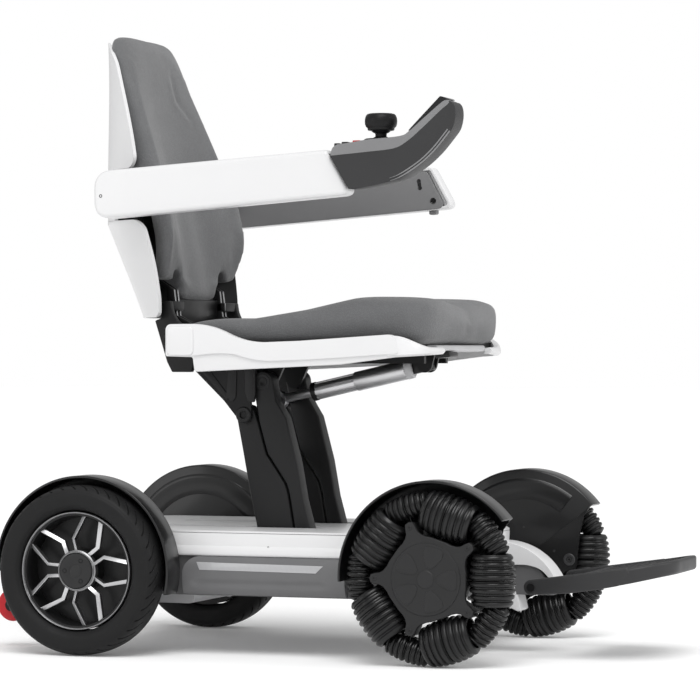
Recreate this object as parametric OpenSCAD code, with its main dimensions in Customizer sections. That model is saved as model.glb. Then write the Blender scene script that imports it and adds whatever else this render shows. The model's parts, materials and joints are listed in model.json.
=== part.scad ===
// Power wheelchair with a parallelogram seat lift and front omni wheels.
// Millimetres. X points forward, Y to the left, Z up. The origin is below the middle of the outline,
// on the floor.

/* [Running gear] */
// Distance between the rear and front axles
wheelbase = 548; // [530:1:570]
// Distance between the middle planes of the right and left wheels
track = 513; // [508:1:530]
// Radius of all four wheels
wheel_r = 127; // [125:1:130]
// Width of a rear tyre
tyre_w = 66; // [56:1:68]
// Radius of the rear rim at its lip
rim_r = 88; // [84:1:90]
// Reach of the anti-tip wheels behind the rear axle
rear_overhang = 181; // [178:1:195]
// Reach of the footplate tip ahead of the front axle
front_overhang = 306; // [296:1:320]
// Radial gap between a wheel and its fender
fender_gap = 10; // [8:1:12]

/* [Omni wheel] */
// Rollers of each size on one front wheel
roller_count = 5; // [5:1:5]
// Depth of the large rollers' pins below the wheel's contact circle
large_pin_depth = 34; // [33:0.5:35]
// Depth of the small rollers' pins below the wheel's contact circle
small_pin_depth = 20; // [19:0.5:21]
// Angle at the axle from the middle of a large roller to its end, in degrees
large_span = 21.96; // [21:0.01:22.2]
// Angle at the axle from the middle of a small roller to its end, in degrees
small_span = 17.63; // [16.6:0.01:17.7]
// Thickness of the hub fin that carries a roller
fin_t = 3.2; // [2.6:0.1:3.4]

/* [Base] */
// Height of the deck's upper face
deck_z = 186; // [184:1:190]
// Gap between the deck's side and a rear wheel's inner face
wheel_gap = 27.5; // [25:0.5:30]
// Height of the base tray's underside
tray_z = 89; // [86:1:90]
// Height of the joint between the tray and the deck cover
split_z = 148; // [144:1:150]
// Wall thickness of the covers
wall = 4; // [3:0.5:5]
// Half the width of the nose that the deck narrows to
nose_half = 24; // [22:1:26]
// Half the width of the footplate
foot_half = 115; // [112:1:120]

/* [Lift] */
// Length of each lift link between its pivots
link_l = 250; // [245:1:252]
// Rearward lean of the links at rest, in degrees
link_lean = 16.3; // [16:0.1:16.8]
// Outer face of a link, from the middle plane
link_out = 85; // [84:1:86]
// Inner face of a link, from the middle plane
link_in = 58; // [57:1:62]
// Radius of the lift pivot pins
pivot_r = 8; // [7:0.5:8]

/* [Seat] */
// Half the width of the seat cushion
cushion_half = 197; // [180:1:198]
// Thickness of the seat cushion at its rear
cushion_t = 34; // [30:1:38]
// Outer face of the seat's side trim, from the middle plane
trim_out = 224; // [222:1:224.5]
// Backrest's lean at rest, in degrees
back_lean = 12; // [11:0.5:12.5]
// Thickness of the back cushion
back_t = 36; // [32:1:36]

/* [Armrests] */
// Inner face of the armrests, from the middle plane
arm_in = 226; // [226:1:230]
// Width of an armrest
arm_w = 34; // [30:1:36]

/* [Fits] */
// Radial clearance of a turning pin
run_fit = 0.05; // [0.02:0.01:0.1]
// Gap between pieces that sit against each other
seat_gap = 0.3; // [0.2:0.05:0.4]
// Gap round pieces that pass each other
pass_gap = 0.6; // [0.5:0.05:0.8]

/* [Hidden] */
$fn = 48;
overall_l = rear_overhang + wheelbase + front_overhang;
mid_x = rear_overhang - overall_l / 2 + wheelbase / 2;
rear_x = -wheelbase / 2;
front_x = wheelbase / 2;
wheel_y = track / 2;
deck_half = wheel_y - tyre_w / 2 - wheel_gap;
// Height of the axles in the drawn frame, which is raised or lowered to the wheels' radius
axle_z = 127;

// Omni wheel
roller_step = 360 / roller_count;
large_pin_r = wheel_r - large_pin_depth;
small_pin_r = wheel_r - small_pin_depth;
large_half = large_pin_r * tan(large_span);
small_half = small_pin_r * tan(small_span);
hub_r = large_pin_r - large_pin_depth - 5;

// Fenders
fender_r = wheel_r + fender_gap;
fender_t = 4;
fender_out = wheel_y + 5.5;
fender_in = wheel_y - tyre_w / 2 - 5.5 - fender_t;

// Base outline
deck_rear = rear_x - 56;
nose_x = front_x + 34;
shoulder_x = front_x - 30;
nose_r = 100;
nose_t = 14;
nose_c = [front_x + 30, 68];
foot_pivot = [front_x + 108, 107];
foot_rod_r = 6;
foot_tip = front_x + front_overhang;

// Lift pivots, upper ones on the seat and lower ones on the chassis
up_front = [-52, 407];
up_rear = [-80, 357];
link_dir = [sin(link_lean), -cos(link_lean)];
low_front = up_front + link_l * link_dir;
low_rear = up_rear + link_l * link_dir;
crank_r = 30;
crank_a = -102.3;
crank = up_front + crank_r * [cos(crank_a), sin(crank_a)];
crank_bar_r = 6;
crank_play = 3.6;
ram_front = [184, 433];
ram_vec = crank - ram_front;
ram_l = norm(ram_vec);
ram_a = atan2(ram_vec[1], ram_vec[0]);
ram_r = 15;
rod_r = 7;

// Anti-tip wheels
tip_r = 25;
tip_c = [rear_x - rear_overhang + tip_r, 64];
tip_y = deck_half - 30;
tip_w = 18;

// Seat
pan_z = 467;
seat_rear = -108;
seat_front = 251;
rail_out = 190;
back_pivot = [-130, 470];
back_pin_r = 9;
trim_in = trim_out - 12;

// Back
back_foot = [-186, 530];
back_top_z = 942;
back_half = 150;
tongue_half = 72;
hinge_y = 93;
lug_in = 141;
shell_t = 5;
arm_pivot = [-225, 680];
arm_pin_r = 9;
arm_out = arm_in + arm_w;

// Controller and joystick
stick_c = [195, 748];
knob_r = 21;
ctrl_in = arm_in + 0.5;
ctrl_out = arm_out + 6;
ctrl_y = (ctrl_in + ctrl_out) / 2;

// Points of an arc round c, from angle a0 to a1
function arc(c, r, a0, a1, n = 8) =
    [for (i = [0:n]) c + r * [cos(a0 + (a1 - a0) * i / n), sin(a0 + (a1 - a0) * i / n)]];
// Points of an elliptic arc round c
function oval(c, rx, rz, a0, a1, n = 8) =
    [for (i = [0:n]) c + [rx * cos(a0 + (a1 - a0) * i / n), rz * sin(a0 + (a1 - a0) * i / n)]];
// Smooth step from 0 to 1 between a and b
function ramp(x, a, b) = let (t = min(1, max(0, (x - a) / (b - a)))) t * t * (3 - 2 * t);
// A bump of height 1 and half-width w round c
function bump(x, c, w) = exp(-pow((x - c) / w, 2));
// Signed power, for superellipses
function spow(v, p) = sign(v) * pow(abs(v), p);
// Contact radius of a roller at axial place x
function barrel(x, pin_r) = sqrt(wheel_r * wheel_r - x * x) - pin_r;

// Everything stands in a frame whose origin is midway between the axles
module in_chair() { translate([mid_x, 0, wheel_r - axle_z]) children(); }
// An outline in the XZ plane, thickened from y0 to y1
module slab(points, y0, y1) {
    translate([0, y1, 0]) rotate([90, 0, 0]) linear_extrude(y1 - y0) polygon(points);
}
// A round bar along Y at place c, from y0 to y1
module bar_y(c, r, y0, y1) {
    translate([c[0], y1, c[1]]) rotate([90, 0, 0]) cylinder(h = y1 - y0, r = r);
}
// A block between two corners
module block(a, b) { translate(a) cube(b - a); }
module both_sides() {
    children();
    mirror([0, 1, 0]) children();
}
// Turns a body of revolution onto the Y axis at a wheel's place; its -Y face is the outer one
module wheel_at(x, z, y, side) {
    translate([x, side * y, z]) mirror([0, side > 0 ? 1 : 0, 0]) rotate([90, 0, 0]) children();
}

// Plan outline of the deck, inset by d
function plan(d) = let (h = deck_half - d, n = nose_half - d, c = 30)
    concat(arc([deck_rear + d + c, -h + c], c, 180, 270),
           arc([shoulder_x - d - 20, -h + 20], 20, 270, 330, 4),
           [[nose_x - d, -n], [nose_x - d, n]],
           arc([shoulder_x - d - 20, h - 20], 20, 30, 90, 4),
           arc([deck_rear + d + c, h - c], c, 90, 180));

// Slots that the links swing through
module link_slots(z0, z1) {
    both_sides() block([-240, link_in - 4, z0], [48, link_out + 4, z1]);
}

module base_tray() color("dimgray") in_chair() {
    difference() {
        union() {
            difference() {
                translate([0, 0, tray_z]) linear_extrude(split_z - tray_z) polygon(plan(6));
                translate([0, 0, tray_z + wall]) linear_extrude(split_z) polygon(plan(6 + wall));
            }
            slab(concat([[nose_x - 12, tray_z]], arc(nose_c, nose_r - nose_t - seat_gap, 14, 66, 12),
                        [[nose_x - 12, split_z - 2]]), -nose_half + 4, nose_half - 4);
        }
        block([-246, -42, tray_z - 1], [136, 42, tray_z + wall + 1]);
        both_sides() bar_y([front_x, axle_z], 10 + pass_gap, nose_half, deck_half + 2);
        both_sides() bar_y([rear_x, axle_z], 11 + pass_gap, deck_half - 20, deck_half + 2);
        bar_y(foot_pivot, foot_rod_r + seat_gap, -nose_half, nose_half);
    }
}

module deck_cover() color("white") in_chair() {
    difference() {
        union() {
            difference() {
                translate([0, 0, split_z + seat_gap]) linear_extrude(deck_z - split_z - seat_gap) polygon(plan(0));
                translate([0, 0, split_z - 1]) linear_extrude(deck_z - split_z + 1 - wall) polygon(plan(wall));
            }
            slab(concat(arc(nose_c, nose_r, 89, 0, 20), arc(nose_c, nose_r - nose_t, 0, 89, 20)), -nose_half, nose_half);
        }
        link_slots(split_z, deck_z + 1);
        bar_y(foot_pivot, foot_rod_r + seat_gap, -nose_half - 1, nose_half + 1);
    }
}

module side_covers() color("gray") in_chair() both_sides() {
    h = split_z - tray_z;
    y0 = deck_half - 6 + seat_gap;
    intersection() {
        slab(concat(arc([-136, split_z - 16], 16, 180, 90), arc([112, split_z - 14], 14, 90, 0),
                    [[126, tray_z + 2], [-152, tray_z + 2]]), y0, y0 + 20);
        translate([-200, 0, 0]) rotate([90, 0, 90]) linear_extrude(400)
            polygon(concat([[y0, tray_z]], oval([y0 + 3, tray_z + h / 2], 13, h / 2, -90, 90, 12), [[y0, split_z]]));
    }
}

module side_lights() color("lightgray") in_chair() both_sides() {
    y0 = deck_half + 10.2 + seat_gap;
    slab([[-112, 128], [84, 126.5], [92, 137], [-114, 139.5]], y0, y0 + 1.5);
}

// Curved band over a wheel with its inner wall, the wall's foot, and two spacers off the base
module fender(x, a0, a1, foot, spacers) {
    w = fender_out - fender_in;
    skin = 0.5;
    difference() {
        union() {
            translate([x, 0, axle_z]) rotate([90, 0, 0]) rotate([0, 0, a0]) translate([0, 0, -fender_out])
                rotate_extrude(angle = a1 - a0, $fn = 96)
                    polygon([[fender_r, 0], [fender_r + fender_t, 0], [fender_r + fender_t, w], [20, w],
                             [20, w - fender_t], [fender_r, w - fender_t]]);
            slab([for (p = foot) p + [x, axle_z]], fender_in + skin, fender_in + fender_t - skin);
            for (p = spacers) bar_y(p, 9, deck_half + seat_gap - (p[1] > split_z ? 0 : 6), fender_in + 1);
        }
        bar_y([x, axle_z], 14, 0, fender_out + 50);
    }
}

module rear_fenders() color([0.2, 0.2, 0.21]) in_chair() both_sides() {
    fender(rear_x, -14, 182, [[-120, 2], [-60, -12], [40, -34], [120, -31], [120, 10], [-120, 10]],
           [[rear_x - 40, 166], [rear_x + 60, 166]]);
}

module front_fenders() color([0.2, 0.2, 0.21]) in_chair() both_sides() {
    fender(front_x, 42, 183, concat([[-118, 8], [-90, -19], [60, -19]], arc([63, -9], 10, -90, -8, 4),
                                    [[78, 38], [85, 72], [95, 88]]), [[front_x - 90, 166], [front_x - 50, 166]]);
}

module drive_motors() color("silver") in_chair() both_sides() {
    c = [rear_x, axle_z];
    motor_r = axle_z - tray_z - wall - seat_gap;
    bar_y(c, motor_r, 100, deck_half - 24);
    bar_y(c, motor_r * 0.7, deck_half - 25, deck_half - 8 - wall);
    bar_y(c, 10, deck_half - 16, wheel_y + 16);
}

module battery_pack() color("lightgray") in_chair() {
    block([-244, -41.4, tray_z - 2], [134, 41.4, 176]);
    slab(concat([[-262, tray_z - seat_gap], [-262, 70]], arc([-158, 78], 8, -90, 0), [[-150, tray_z - seat_gap]]),
         -120, 120);
    block([-151, -118, 82], [-92, 118, tray_z - seat_gap]);
}

module power_controller() color([0.12, 0.12, 0.13]) in_chair() {
    block([front_x - 110, -80, tray_z + wall + seat_gap], [front_x - 34, 80, 138]);
    for (i = [0:7]) block([front_x - 107 + i * 9, -76, 137], [front_x - 103 + i * 9, 76, 146]);
}

module chassis_frame() color([0.16, 0.16, 0.17]) in_chair() {
    floor_z = tray_z + wall + seat_gap;
    both_sides() {
        // lift pivots: two cheeks and two pins
        for (y = [[link_in - 9, link_in - 4], [link_out + 4, link_out + 9]])
            slab(concat([[low_rear[0] - 26, floor_z], [low_front[0] + 18, floor_z]],
                        arc(low_front, 13, -20, 120), arc(low_rear, 24, 120, 180)), y[0], y[1]);
        bar_y(low_front, pivot_r, link_in - 5, link_out + 5);
        bar_y(low_rear, pivot_r, link_in - 5, link_out + 5);
        // front axle stub in its block
        bar_y([front_x, axle_z], 10, nose_half + 6, wheel_y + 15);
        block([front_x - 24, nose_half + 4, floor_z], [front_x + 4, nose_half + 34, axle_z + 16]);
        // anti-tip arm on a flange behind the tray
        block([deck_rear - 6, tip_y - 31, 100], [deck_rear + 6 - seat_gap, tip_y - 1, 140]);
        slab(concat([[deck_rear - 2, 102], [deck_rear - 2, 132]], arc(tip_c, 12, 70, 250)), tip_y - tip_w / 2 - 12,
             tip_y - tip_w / 2 - 2);
        bar_y(tip_c, 5, tip_y - tip_w / 2 - 4, tip_y + tip_w / 2 + 1);
        bar_y(tip_c, 9, tip_y + tip_w / 2 + pass_gap, tip_y + tip_w / 2 + 4);
    }
    bar_y(foot_pivot, foot_rod_r, -foot_half - 2, foot_half + 2);
}

module rear_tyre(side) {
    mid_r = rim_r + (wheel_r - rim_r) / 2;
    wheel_at(rear_x, axle_z, wheel_y, side) rotate_extrude($fn = 96)
        polygon([for (i = [0:32]) let (t = -85 + 350 * i / 32)
            [mid_r + (wheel_r - mid_r) * spow(sin(t), 0.7), tyre_w / 2 * spow(cos(t), 0.7)]]);
}

// One arm of a spoke pair, as a kinked bar between the hub and the lip
function spoke(s) = [for (p = [[0.34, 15], [0.54, 21.5], [0.96, 6.5], [0.96, 12], [0.56, 29.5], [0.34, 27]])
    rim_r * p[0] * [cos(s * p[1]), sin(s * p[1])]];

module rear_rim(side) wheel_at(rear_x, axle_z, wheel_y, side) {
    difference() {
        union() {
            rotate_extrude($fn = 96) polygon([[rim_r - 8, -22], [rim_r - 1, -25], [rim_r, -22], [rim_r, 22],
                [rim_r - 1, 25], [rim_r - 6, 25], [rim_r - 7, 18]]);
            translate([0, 0, -16]) cylinder(h = 38, r = 31);
            translate([0, 0, 11]) for (i = [0:4], s = [-1, 1]) rotate(72 * i) linear_extrude(10) polygon(spoke(s));
            // hub cap
            translate([0, 0, 21]) cylinder(h = 5, r = 26.5);
        }
        translate([0, 0, -30]) cylinder(h = 48, r = 10 + run_fit);
        for (a = [60, 180, 300]) rotate(a) translate([14, 0, 23]) cylinder(h = 4, r = 2.2);
    }
}

// Hub of an omni wheel: drum, fins with eyes for the roller pins, star cap outside
module front_hub(side) wheel_at(front_x, axle_z, wheel_y, side) {
    eye = [[large_pin_r, 9, 0], [small_pin_r, 8.5, roller_step / 2]];
    root = hub_r - 6;
    tip = large_pin_r - 7;
    difference() {
        union() {
            translate([0, 0, -17]) cylinder(h = 34, r = hub_r);
            translate([0, 0, -22]) cylinder(h = 6, r = hub_r * 0.56);
            for (e = eye, i = [0:roller_count - 1]) rotate(e[2] + roller_step * i) {
                translate([root, -fin_t / 2, -8]) cube([e[0] - root, fin_t, 16]);
                translate([e[0], fin_t / 2, 0]) rotate([90, 0, 0]) cylinder(h = fin_t, r = e[1]);
            }
            for (i = [0:roller_count - 1]) rotate(roller_step * (i + 0.5))
                translate([root, -5.5, -12]) cube([tip - 2 - root, 11, 24]);
            translate([0, 0, 16]) linear_extrude(7) polygon([for (i = [0:roller_count - 1],
                p = [[hub_r + 6, -14], [tip - 7, -6.5], [tip, 0], [tip - 7, 6.5], [hub_r + 6, 14]])
                p[0] * [cos(roller_step * (i + 0.5) + p[1]), sin(roller_step * (i + 0.5) + p[1])]]);
            translate([0, 0, 22]) cylinder(h = 3.5, r = hub_r - 2);
        }
        translate([0, 0, -30]) cylinder(h = 46, r = 10 + run_fit);
        for (e = eye, i = [0:roller_count - 1]) rotate(e[2] + roller_step * i)
            translate([e[0], 10, 0]) rotate([90, 0, 0]) cylinder(h = 20, r = 5 + pass_gap);
        for (i = [0:roller_count - 1]) rotate(roller_step * (i + 0.5)) translate([tip - 8.4, 0, 15]) cylinder(h = 10, r = 1.8);
    }
}

// Half outline of a ribbed roller, from the slot that the fin runs in to the end face
function ribs(pin_r, half, n, depth, full) = let (x0 = fin_t / 2 + pass_gap, pitch = (half - x0) / n)
    [for (i = [0:n - 1], k = [0.02, 0.22, 0.62, 0.82]) let (x = x0 + pitch * (i + (i == n - 1 && k == 0.82 ? 1 : k)))
        [barrel(min(x, full), pin_r) - max(0, x - full) * 1.1
         - ((k == 0.02 && i > 0) || (k == 0.82 && i < n - 1) ? depth : 0), x]];

// A roller is two ribbed halves on one pin, which turns in the eye of its fin
module roller(pin_r, half, n, depth, full, cup) {
    side = ribs(pin_r, half, n, depth, full);
    x0 = fin_t / 2 + pass_gap;
    hollow = cup > 0 ? [[cup, half], [cup, half * 0.55], [0, half * 0.55]] : [[0, half]];
    right = concat([[5, x0]], side, hollow);
    left = [for (i = [len(right) - 1:-1:0]) [right[i][0], -right[i][1]]];
    rotate_extrude($fn = 64) polygon(concat(left, right));
}

// A roller at its place on the wheel, its pin along the rim
module roller_at(side, pin_r, angle) {
    wheel_at(front_x, axle_z, wheel_y, side) rotate(angle) translate([pin_r, 0, 0]) rotate([-90, 0, 0]) children();
}
module large_roller(side, i) color([0.13, 0.13, 0.14]) in_chair() roller_at(side, large_pin_r, roller_step * i)
    roller(large_pin_r, large_half, 4, 3, large_half, large_pin_depth * 0.64);
module small_roller(side, i) color([0.13, 0.13, 0.14]) in_chair() roller_at(side, small_pin_r, roller_step * (i + 0.5))
    roller(small_pin_r, small_half, 3, 3, small_half - 4, 0);

module anti_tip_wheel(side) color("firebrick") in_chair() translate([tip_c[0], side * tip_y, tip_c[1]]) rotate([90, 0, 0])
    rotate_extrude() polygon([[5 + run_fit, -tip_w / 2], [tip_r - 4, -tip_w / 2], [tip_r - 1, -tip_w / 2 + 2],
        [tip_r, -tip_w / 2 + 5], [tip_r, tip_w / 2 - 5], [tip_r - 1, tip_w / 2 - 2], [tip_r - 4, tip_w / 2],
        [5 + run_fit, tip_w / 2]]);

// Seam between the nested links, from the top down
seam = [[-60, 346], [-47, 300], [-42, 291], [-19, 257], [-14, 247], [-10, 232], [-3, 190]];
seam_w = 2.2;

module rear_links() color([0.24, 0.24, 0.25]) in_chair() {
    both_sides() difference() {
        slab(concat(arc(up_rear, 15, 20, 200), [[-84, 300], [-74, 246], [-60, 180]], arc(low_rear, 20, 190, 360),
                    [for (i = [len(seam) - 1:-1:0]) seam[i]]), link_in, link_out);
        bar_y(up_rear, 7 + run_fit, link_in - 1, link_out + 1);
        bar_y(low_rear, pivot_r + run_fit, link_in - 1, link_out + 1);
    }
    bar_y(up_rear + 70 * link_dir, 9, -link_in - 0.5, link_in + 0.5);
}

module front_links() color([0.24, 0.24, 0.25]) in_chair() {
    both_sides() difference() {
        slab(concat(arc(up_front, 16.5, 190, 0), [[-30, 378], [-14, 352], [4, 284], [14, 228], [26, 184]],
                    arc(low_front, 14, 20, -180),
                    [for (i = [len(seam) - 1:-1:0]) seam[i] + [seam_w, seam_w / 2]]), link_in, link_out);
        bar_y(up_front, 7 + run_fit, link_in - 1, link_out + 1);
        bar_y(low_front, pivot_r + run_fit, link_in - 1, link_out + 1);
    }
    bar_y(crank, crank_bar_r, -link_in - 0.5, link_in + 0.5);
}

// Actuator parts lie along X and are turned onto the line between their pins
module on_ram() { translate([ram_front[0], 0, ram_front[1]]) rotate([0, -ram_a, 0]) children(); }
module actuator_tube() color("silver") in_chair() on_ram() difference() {
    union() {
        translate([22, 0, 0]) rotate([0, 90, 0]) cylinder(h = ram_l - 80, r = ram_r);
        block([-10, -8, -10], [24, 8, 10]);
    }
    translate([40, 0, 0]) rotate([0, 90, 0]) cylinder(h = ram_l, r = rod_r + run_fit);
    bar_y([0, 0], 5 + run_fit, -20, 20);
}

module actuator_rod() color("gainsboro") in_chair() on_ram() difference() {
    eye_r = crank_bar_r + crank_play;
    union() {
        translate([76, 0, 0]) rotate([0, 90, 0]) cylinder(h = ram_l - 76 - eye_r, r = rod_r);
        bar_y([ram_l, 0], eye_r + 5, -8, 8);
    }
    bar_y([ram_l, 0], eye_r, -20, 20);
}

module seat_frame() color([0.15, 0.15, 0.16]) in_chair() {
    // pan, rails and cross beams
    block([seat_rear + 4, -204, pan_z - 8], [222, 204, pan_z]);
    both_sides() block([-104, 170, pan_z - 22], [140, rail_out, pan_z - 7]);
    both_sides() block([-104, 48, pan_z - 32], [198, 58, pan_z - 7]);
    block([-104, -rail_out, pan_z - 32], [-84, rail_out, pan_z - 7]);
    block([170, -60, pan_z - 20], [196, 60, pan_z - 7]);
    both_sides() {
        // front link hangers with their pins
        slab(concat([[-76, pan_z - 8], [-76, 430]], arc(up_front, 12, 200, 340), [[-28, 430], [-28, pan_z - 8]]),
             link_in - 8, link_in - 1);
        bar_y(up_front, 7, link_in - 2, link_out);
        // rear link gussets with their pins
        slab(concat([[-104, pan_z - 8], [-104, 440], [-160, 440], [-160, 424], [-112, 378]],
                    arc(up_rear, 13, 190, 350), [[-72, 430], [-72, pan_z - 8]]), link_out + 1, link_out + 7);
        bar_y(up_rear, 7, link_in, link_out + 2);
        // back hinge lugs with their pins
        slab(concat(arc(back_pivot, 14, 60, 250), [[-100, pan_z - 32], [-84, pan_z - 8], [-104, pan_z]]),
             lug_in, lug_in + 11);
        bar_y(back_pivot, back_pin_r, lug_in - 13.5, lug_in + 1);
    }
    // actuator clevis and its pin
    both_sides() slab(concat([[170, pan_z - 19]], arc(ram_front, 12, 180, 340), [[200, pan_z - 19]]), 9, 14);
    bar_y(ram_front, 5, -14, 14);
}

module seat_trim() color("white") in_chair() {
    both_sides() {
        slab(concat([[-153, 488], [-148, 494], [-92, 494]], arc([-92, 454], 40, 80, 40, 4), [[-24, 467], [60, 469], [200, 478]],
                    arc([214, 466], 12, 90, 30, 4), [[252, 456], [250, 446], [120, 434], [-108, 423], [-112, 444],
                    [-150, 446]]), trim_in, trim_out);
        // cover over the back hinge
        slab(concat(arc([-147, 487], 6, 90, 180, 4), arc([-147, 451], 6, 180, 270, 4), arc([-112, 451], 6, 270, 360, 4),
                    arc([-112, 487], 6, 0, 90, 4)), trim_out - 1, trim_out + 1.5);
        // lip against the rail, under the pan
        block([-80, rail_out + seat_gap, 447], [130, trim_in + 1, 453]);
    }
    slab(concat([[224, 450], [224, 459]], [[240, 466]], arc([248, 458], 7, 70, -80)), -trim_in - 1, trim_in + 1);
}

// Closed skin through rings of points, shut at both ends by strips across the ring
module loft(rings) {
    n = len(rings[0]);
    top = (len(rings) - 1) * n;
    points = [for (r = rings, p = r) p];
    side = [for (j = [0:len(rings) - 2], i = [0:n - 1]) let (a = j * n + i, b = j * n + (i + 1) % n) each
        [[a, b, b + n], [a, b + n, a + n]]];
    caps = [for (k = [0:n / 2 - 2]) each [[n - 1 - k, n - 2 - k, k + 1, k],
        [top + k, top + k + 1, top + n - 2 - k, top + n - 1 - k]]];
    polyhedron(points, concat(side, caps));
}

// Height of the seat cushion's upper face above its rear level, with two thigh crests and a dip between
function seat_rise(x, y) = 30 * ramp(x, -30, 150) - 3 * ramp(x, 90, 160) * bump(y, 0, 50)
    - 4 * ramp(x, -120, 0) * (1 - ramp(x, 0, 120)) * bump(y, 0, 110);
// One ring of the seat cushion: a superellipse shrunk by s, at level k from bottom to top
function seat_ring(s, k) = let (c = (seat_rear + seat_front) / 2, hx = (seat_front - seat_rear) / 2 * s, hy = cushion_half * s)
    [for (i = [0:43]) let (t = 360 * i / 44, x = c + hx * spow(cos(t), 0.25), y = hy * spow(sin(t), 0.25))
        [x, y, pan_z + seat_gap + k * (cushion_t - 2 + seat_rise(x, y))]];

module seat_cushion() color("dimgray") in_chair() loft([for (p = [[0.96, 0], [0.985, 0.08], [0.99, 0.3], [0.982, 0.5],
    [1, 0.72], [0.985, 0.86], [0.95, 0.95], [0.88, 0.99], [0.7, 1.03], [0.45, 1.05], [0.2, 1.06]]) seat_ring(p[0], p[1])]);

// Places on the back: middle of the front face, half-width and bolster depth at height z
function back_x(z) = back_foot[0] - (z - back_foot[1]) * tan(back_lean);
function back_w(z) = tongue_half + (back_half - 6 - tongue_half) * ramp(z, 555, 568) + 6 * ramp(z, 568, 612)
    - 32 * ramp(z, 700, 945);
function back_depth(z) = back_t - 18 * ramp(z, 760, 930);
function bolster(z) = 48 * ramp(z, 520, 640) * (1 - ramp(z, 670, 960));
// One ring of the back cushion at height z, shrunk by s, with soft flutes on its front
function back_ring(z, s) = let (w = back_w(z) * s, d = back_depth(z) / 2)
    [for (i = [0:35]) let (t = 360 * i / 36, y = w * spow(cos(t), 0.7), f = sin(t))
        [back_x(z) - d + d * s * spow(f, 0.5) + bolster(z) * pow(y / w, 2) * s
         + (f > 0 ? 1.5 * s * cos(y * 360 / 84) : 0), y, z]];

module back_cushion() color("dimgray") in_chair() difference() {
    loft(concat([back_ring(531, 0.6), back_ring(534, 0.9)],
        [for (z = [542, 555, 558, 562, 568, 590, 620, 650, 680, 710, 740, 770, 800, 830, 860, 890, 915]) back_ring(z, 1)],
        [back_ring(930, 0.93), back_ring(938, 0.75), back_ring(back_top_z, 0.4)]));
    // arches that the hinge bars pass under
    both_sides() translate([-320, hinge_y, 564]) rotate([0, 90, 0]) cylinder(h = 220, r = 12, $fn = 24);
}

// Plan curve of the shell: rearmost in the middle, wings forward
function shell_depth(z) = 118 - 0.236 * abs(z - 650);
function shell_w(z) = 160 + 6 * ramp(z, 500, 620) - 38 * ramp(z, 720, 945);
function shell_fore(z) = 2 + 6 * bump(z, 590, 60) - 6 * (1 - ramp(z, 490, 540)) - 14 * ramp(z, 760, 930)
    - 9 * (1 - ramp(z, 640, 700));
// Reach of the wings, cut back where the armrest carriers come out
function wing(z) = 1 - 0.32 * (ramp(z, 638, 652) - ramp(z, 712, 742));
function shell_ring(z) = let (w = shell_w(z), rear = back_x(z) - shell_depth(z), fore = shell_depth(z) + shell_fore(z))
    concat([for (i = [-12:12]) let (u = wing(z) * i / 12)
               [rear + shell_t + (fore - shell_t * 0.4) * pow(abs(u), 2.4), (w - shell_t) * u, z]],
           [for (i = [12:-1:-12]) let (u = wing(z) * i / 12) [rear + fore * pow(abs(u), 2.4), w * u, z]]);

module back_shell() color("white") in_chair()
    loft([for (z = [505, 540, 580, 620, 638, 645, 652, 712, 727, 742, 780, 820, 860, 900, 930]) shell_ring(z)]);

// Place just behind the back cushion at height z
function behind(z) = [back_x(z) - back_depth(z) - seat_gap, z];

module back_frame() color([0.15, 0.15, 0.16]) in_chair() {
    bar_t = 10;
    top_z = 800;
    both_sides() {
        // hinge bar, up behind the cushion
        slab([back_pivot + [0, -9], back_pivot + [4, 9], [-185, 508], [-190, 548], behind(574), behind(604),
              behind(top_z), behind(top_z) - [bar_t, 0], behind(604) - [bar_t, 0], behind(574) - [bar_t, -4],
              [-204, 550], [-199, 496]], hinge_y - 9, hinge_y + 9);
        // side arm at the hinge, with its heel
        difference() {
            slab(concat([[-180, 530], [-196, 530], [-196, 504], [-206, 500], [-186, 437], [-178, 422], [-147, 422]],
                        arc(back_pivot, 20, -110, 60)), lug_in - 13, lug_in - pass_gap);
            bar_y(back_pivot, back_pin_r + run_fit, lug_in - 14, lug_in);
        }
        block([-196, hinge_y - 9, 516], [-181, lug_in - 12, 530]);
        // armrest carrier behind the cushion, and its pin
        block([-268, hinge_y + 8, 664], [-256, 190, 696]);
        slab(concat([[-268, 664], [-240, 664]], arc(arm_pivot, 14, -90, 90), [[-240, 696], [-268, 696]]), 180, 190);
        bar_y(arm_pivot, arm_pin_r, 189, arm_out - 4);
    }
    bar_y(back_pivot, 10, -hinge_y, hinge_y);
    slab([behind(top_z - 16) - [bar_t, 0], behind(top_z - 16), behind(top_z), behind(top_z) - [bar_t, 0]],
         -hinge_y, hinge_y);
    // standoff that the shell is screwed to
    post_z = top_z - 8;
    block([back_x(post_z) - shell_depth(post_z) + shell_t + 2 * seat_gap, -10, post_z - 4],
          [behind(post_z)[0] - bar_t + 2, 10, post_z + 4]);
}

// Side outline of an armrest, inset by d
function arm_side(d) = concat(arc([-243, 665], 12 - d, 180, 265, 4), [[153 - d * 1.3, 684 + d], [116 - d, 747 - d]],
    arc([-243, 710], 12 - d, 94, 180, 4));

module armrest(side) color("white") in_chair() mirror([0, side > 0 ? 0 : 1, 0]) difference() {
    slab(arm_side(0), arm_in, arm_out);
    slab(arm_side(5), arm_in - 1, arm_in + 9);
    bar_y(arm_pivot, arm_pin_r + run_fit, arm_in - 1, arm_out - 3);
}

module armrest_panel(side) color([0.33, 0.33, 0.34]) in_chair() mirror([0, side > 0 ? 0 : 1, 0]) difference() {
    slab(arm_side(5 + seat_gap), arm_in + 0.5, arm_in + 9 - seat_gap);
    bar_y(arm_pivot, arm_pin_r + pass_gap, arm_in - 1, arm_out);
    bar_y([118, 700], 5, arm_in - 1, arm_in + 7);
}

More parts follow.
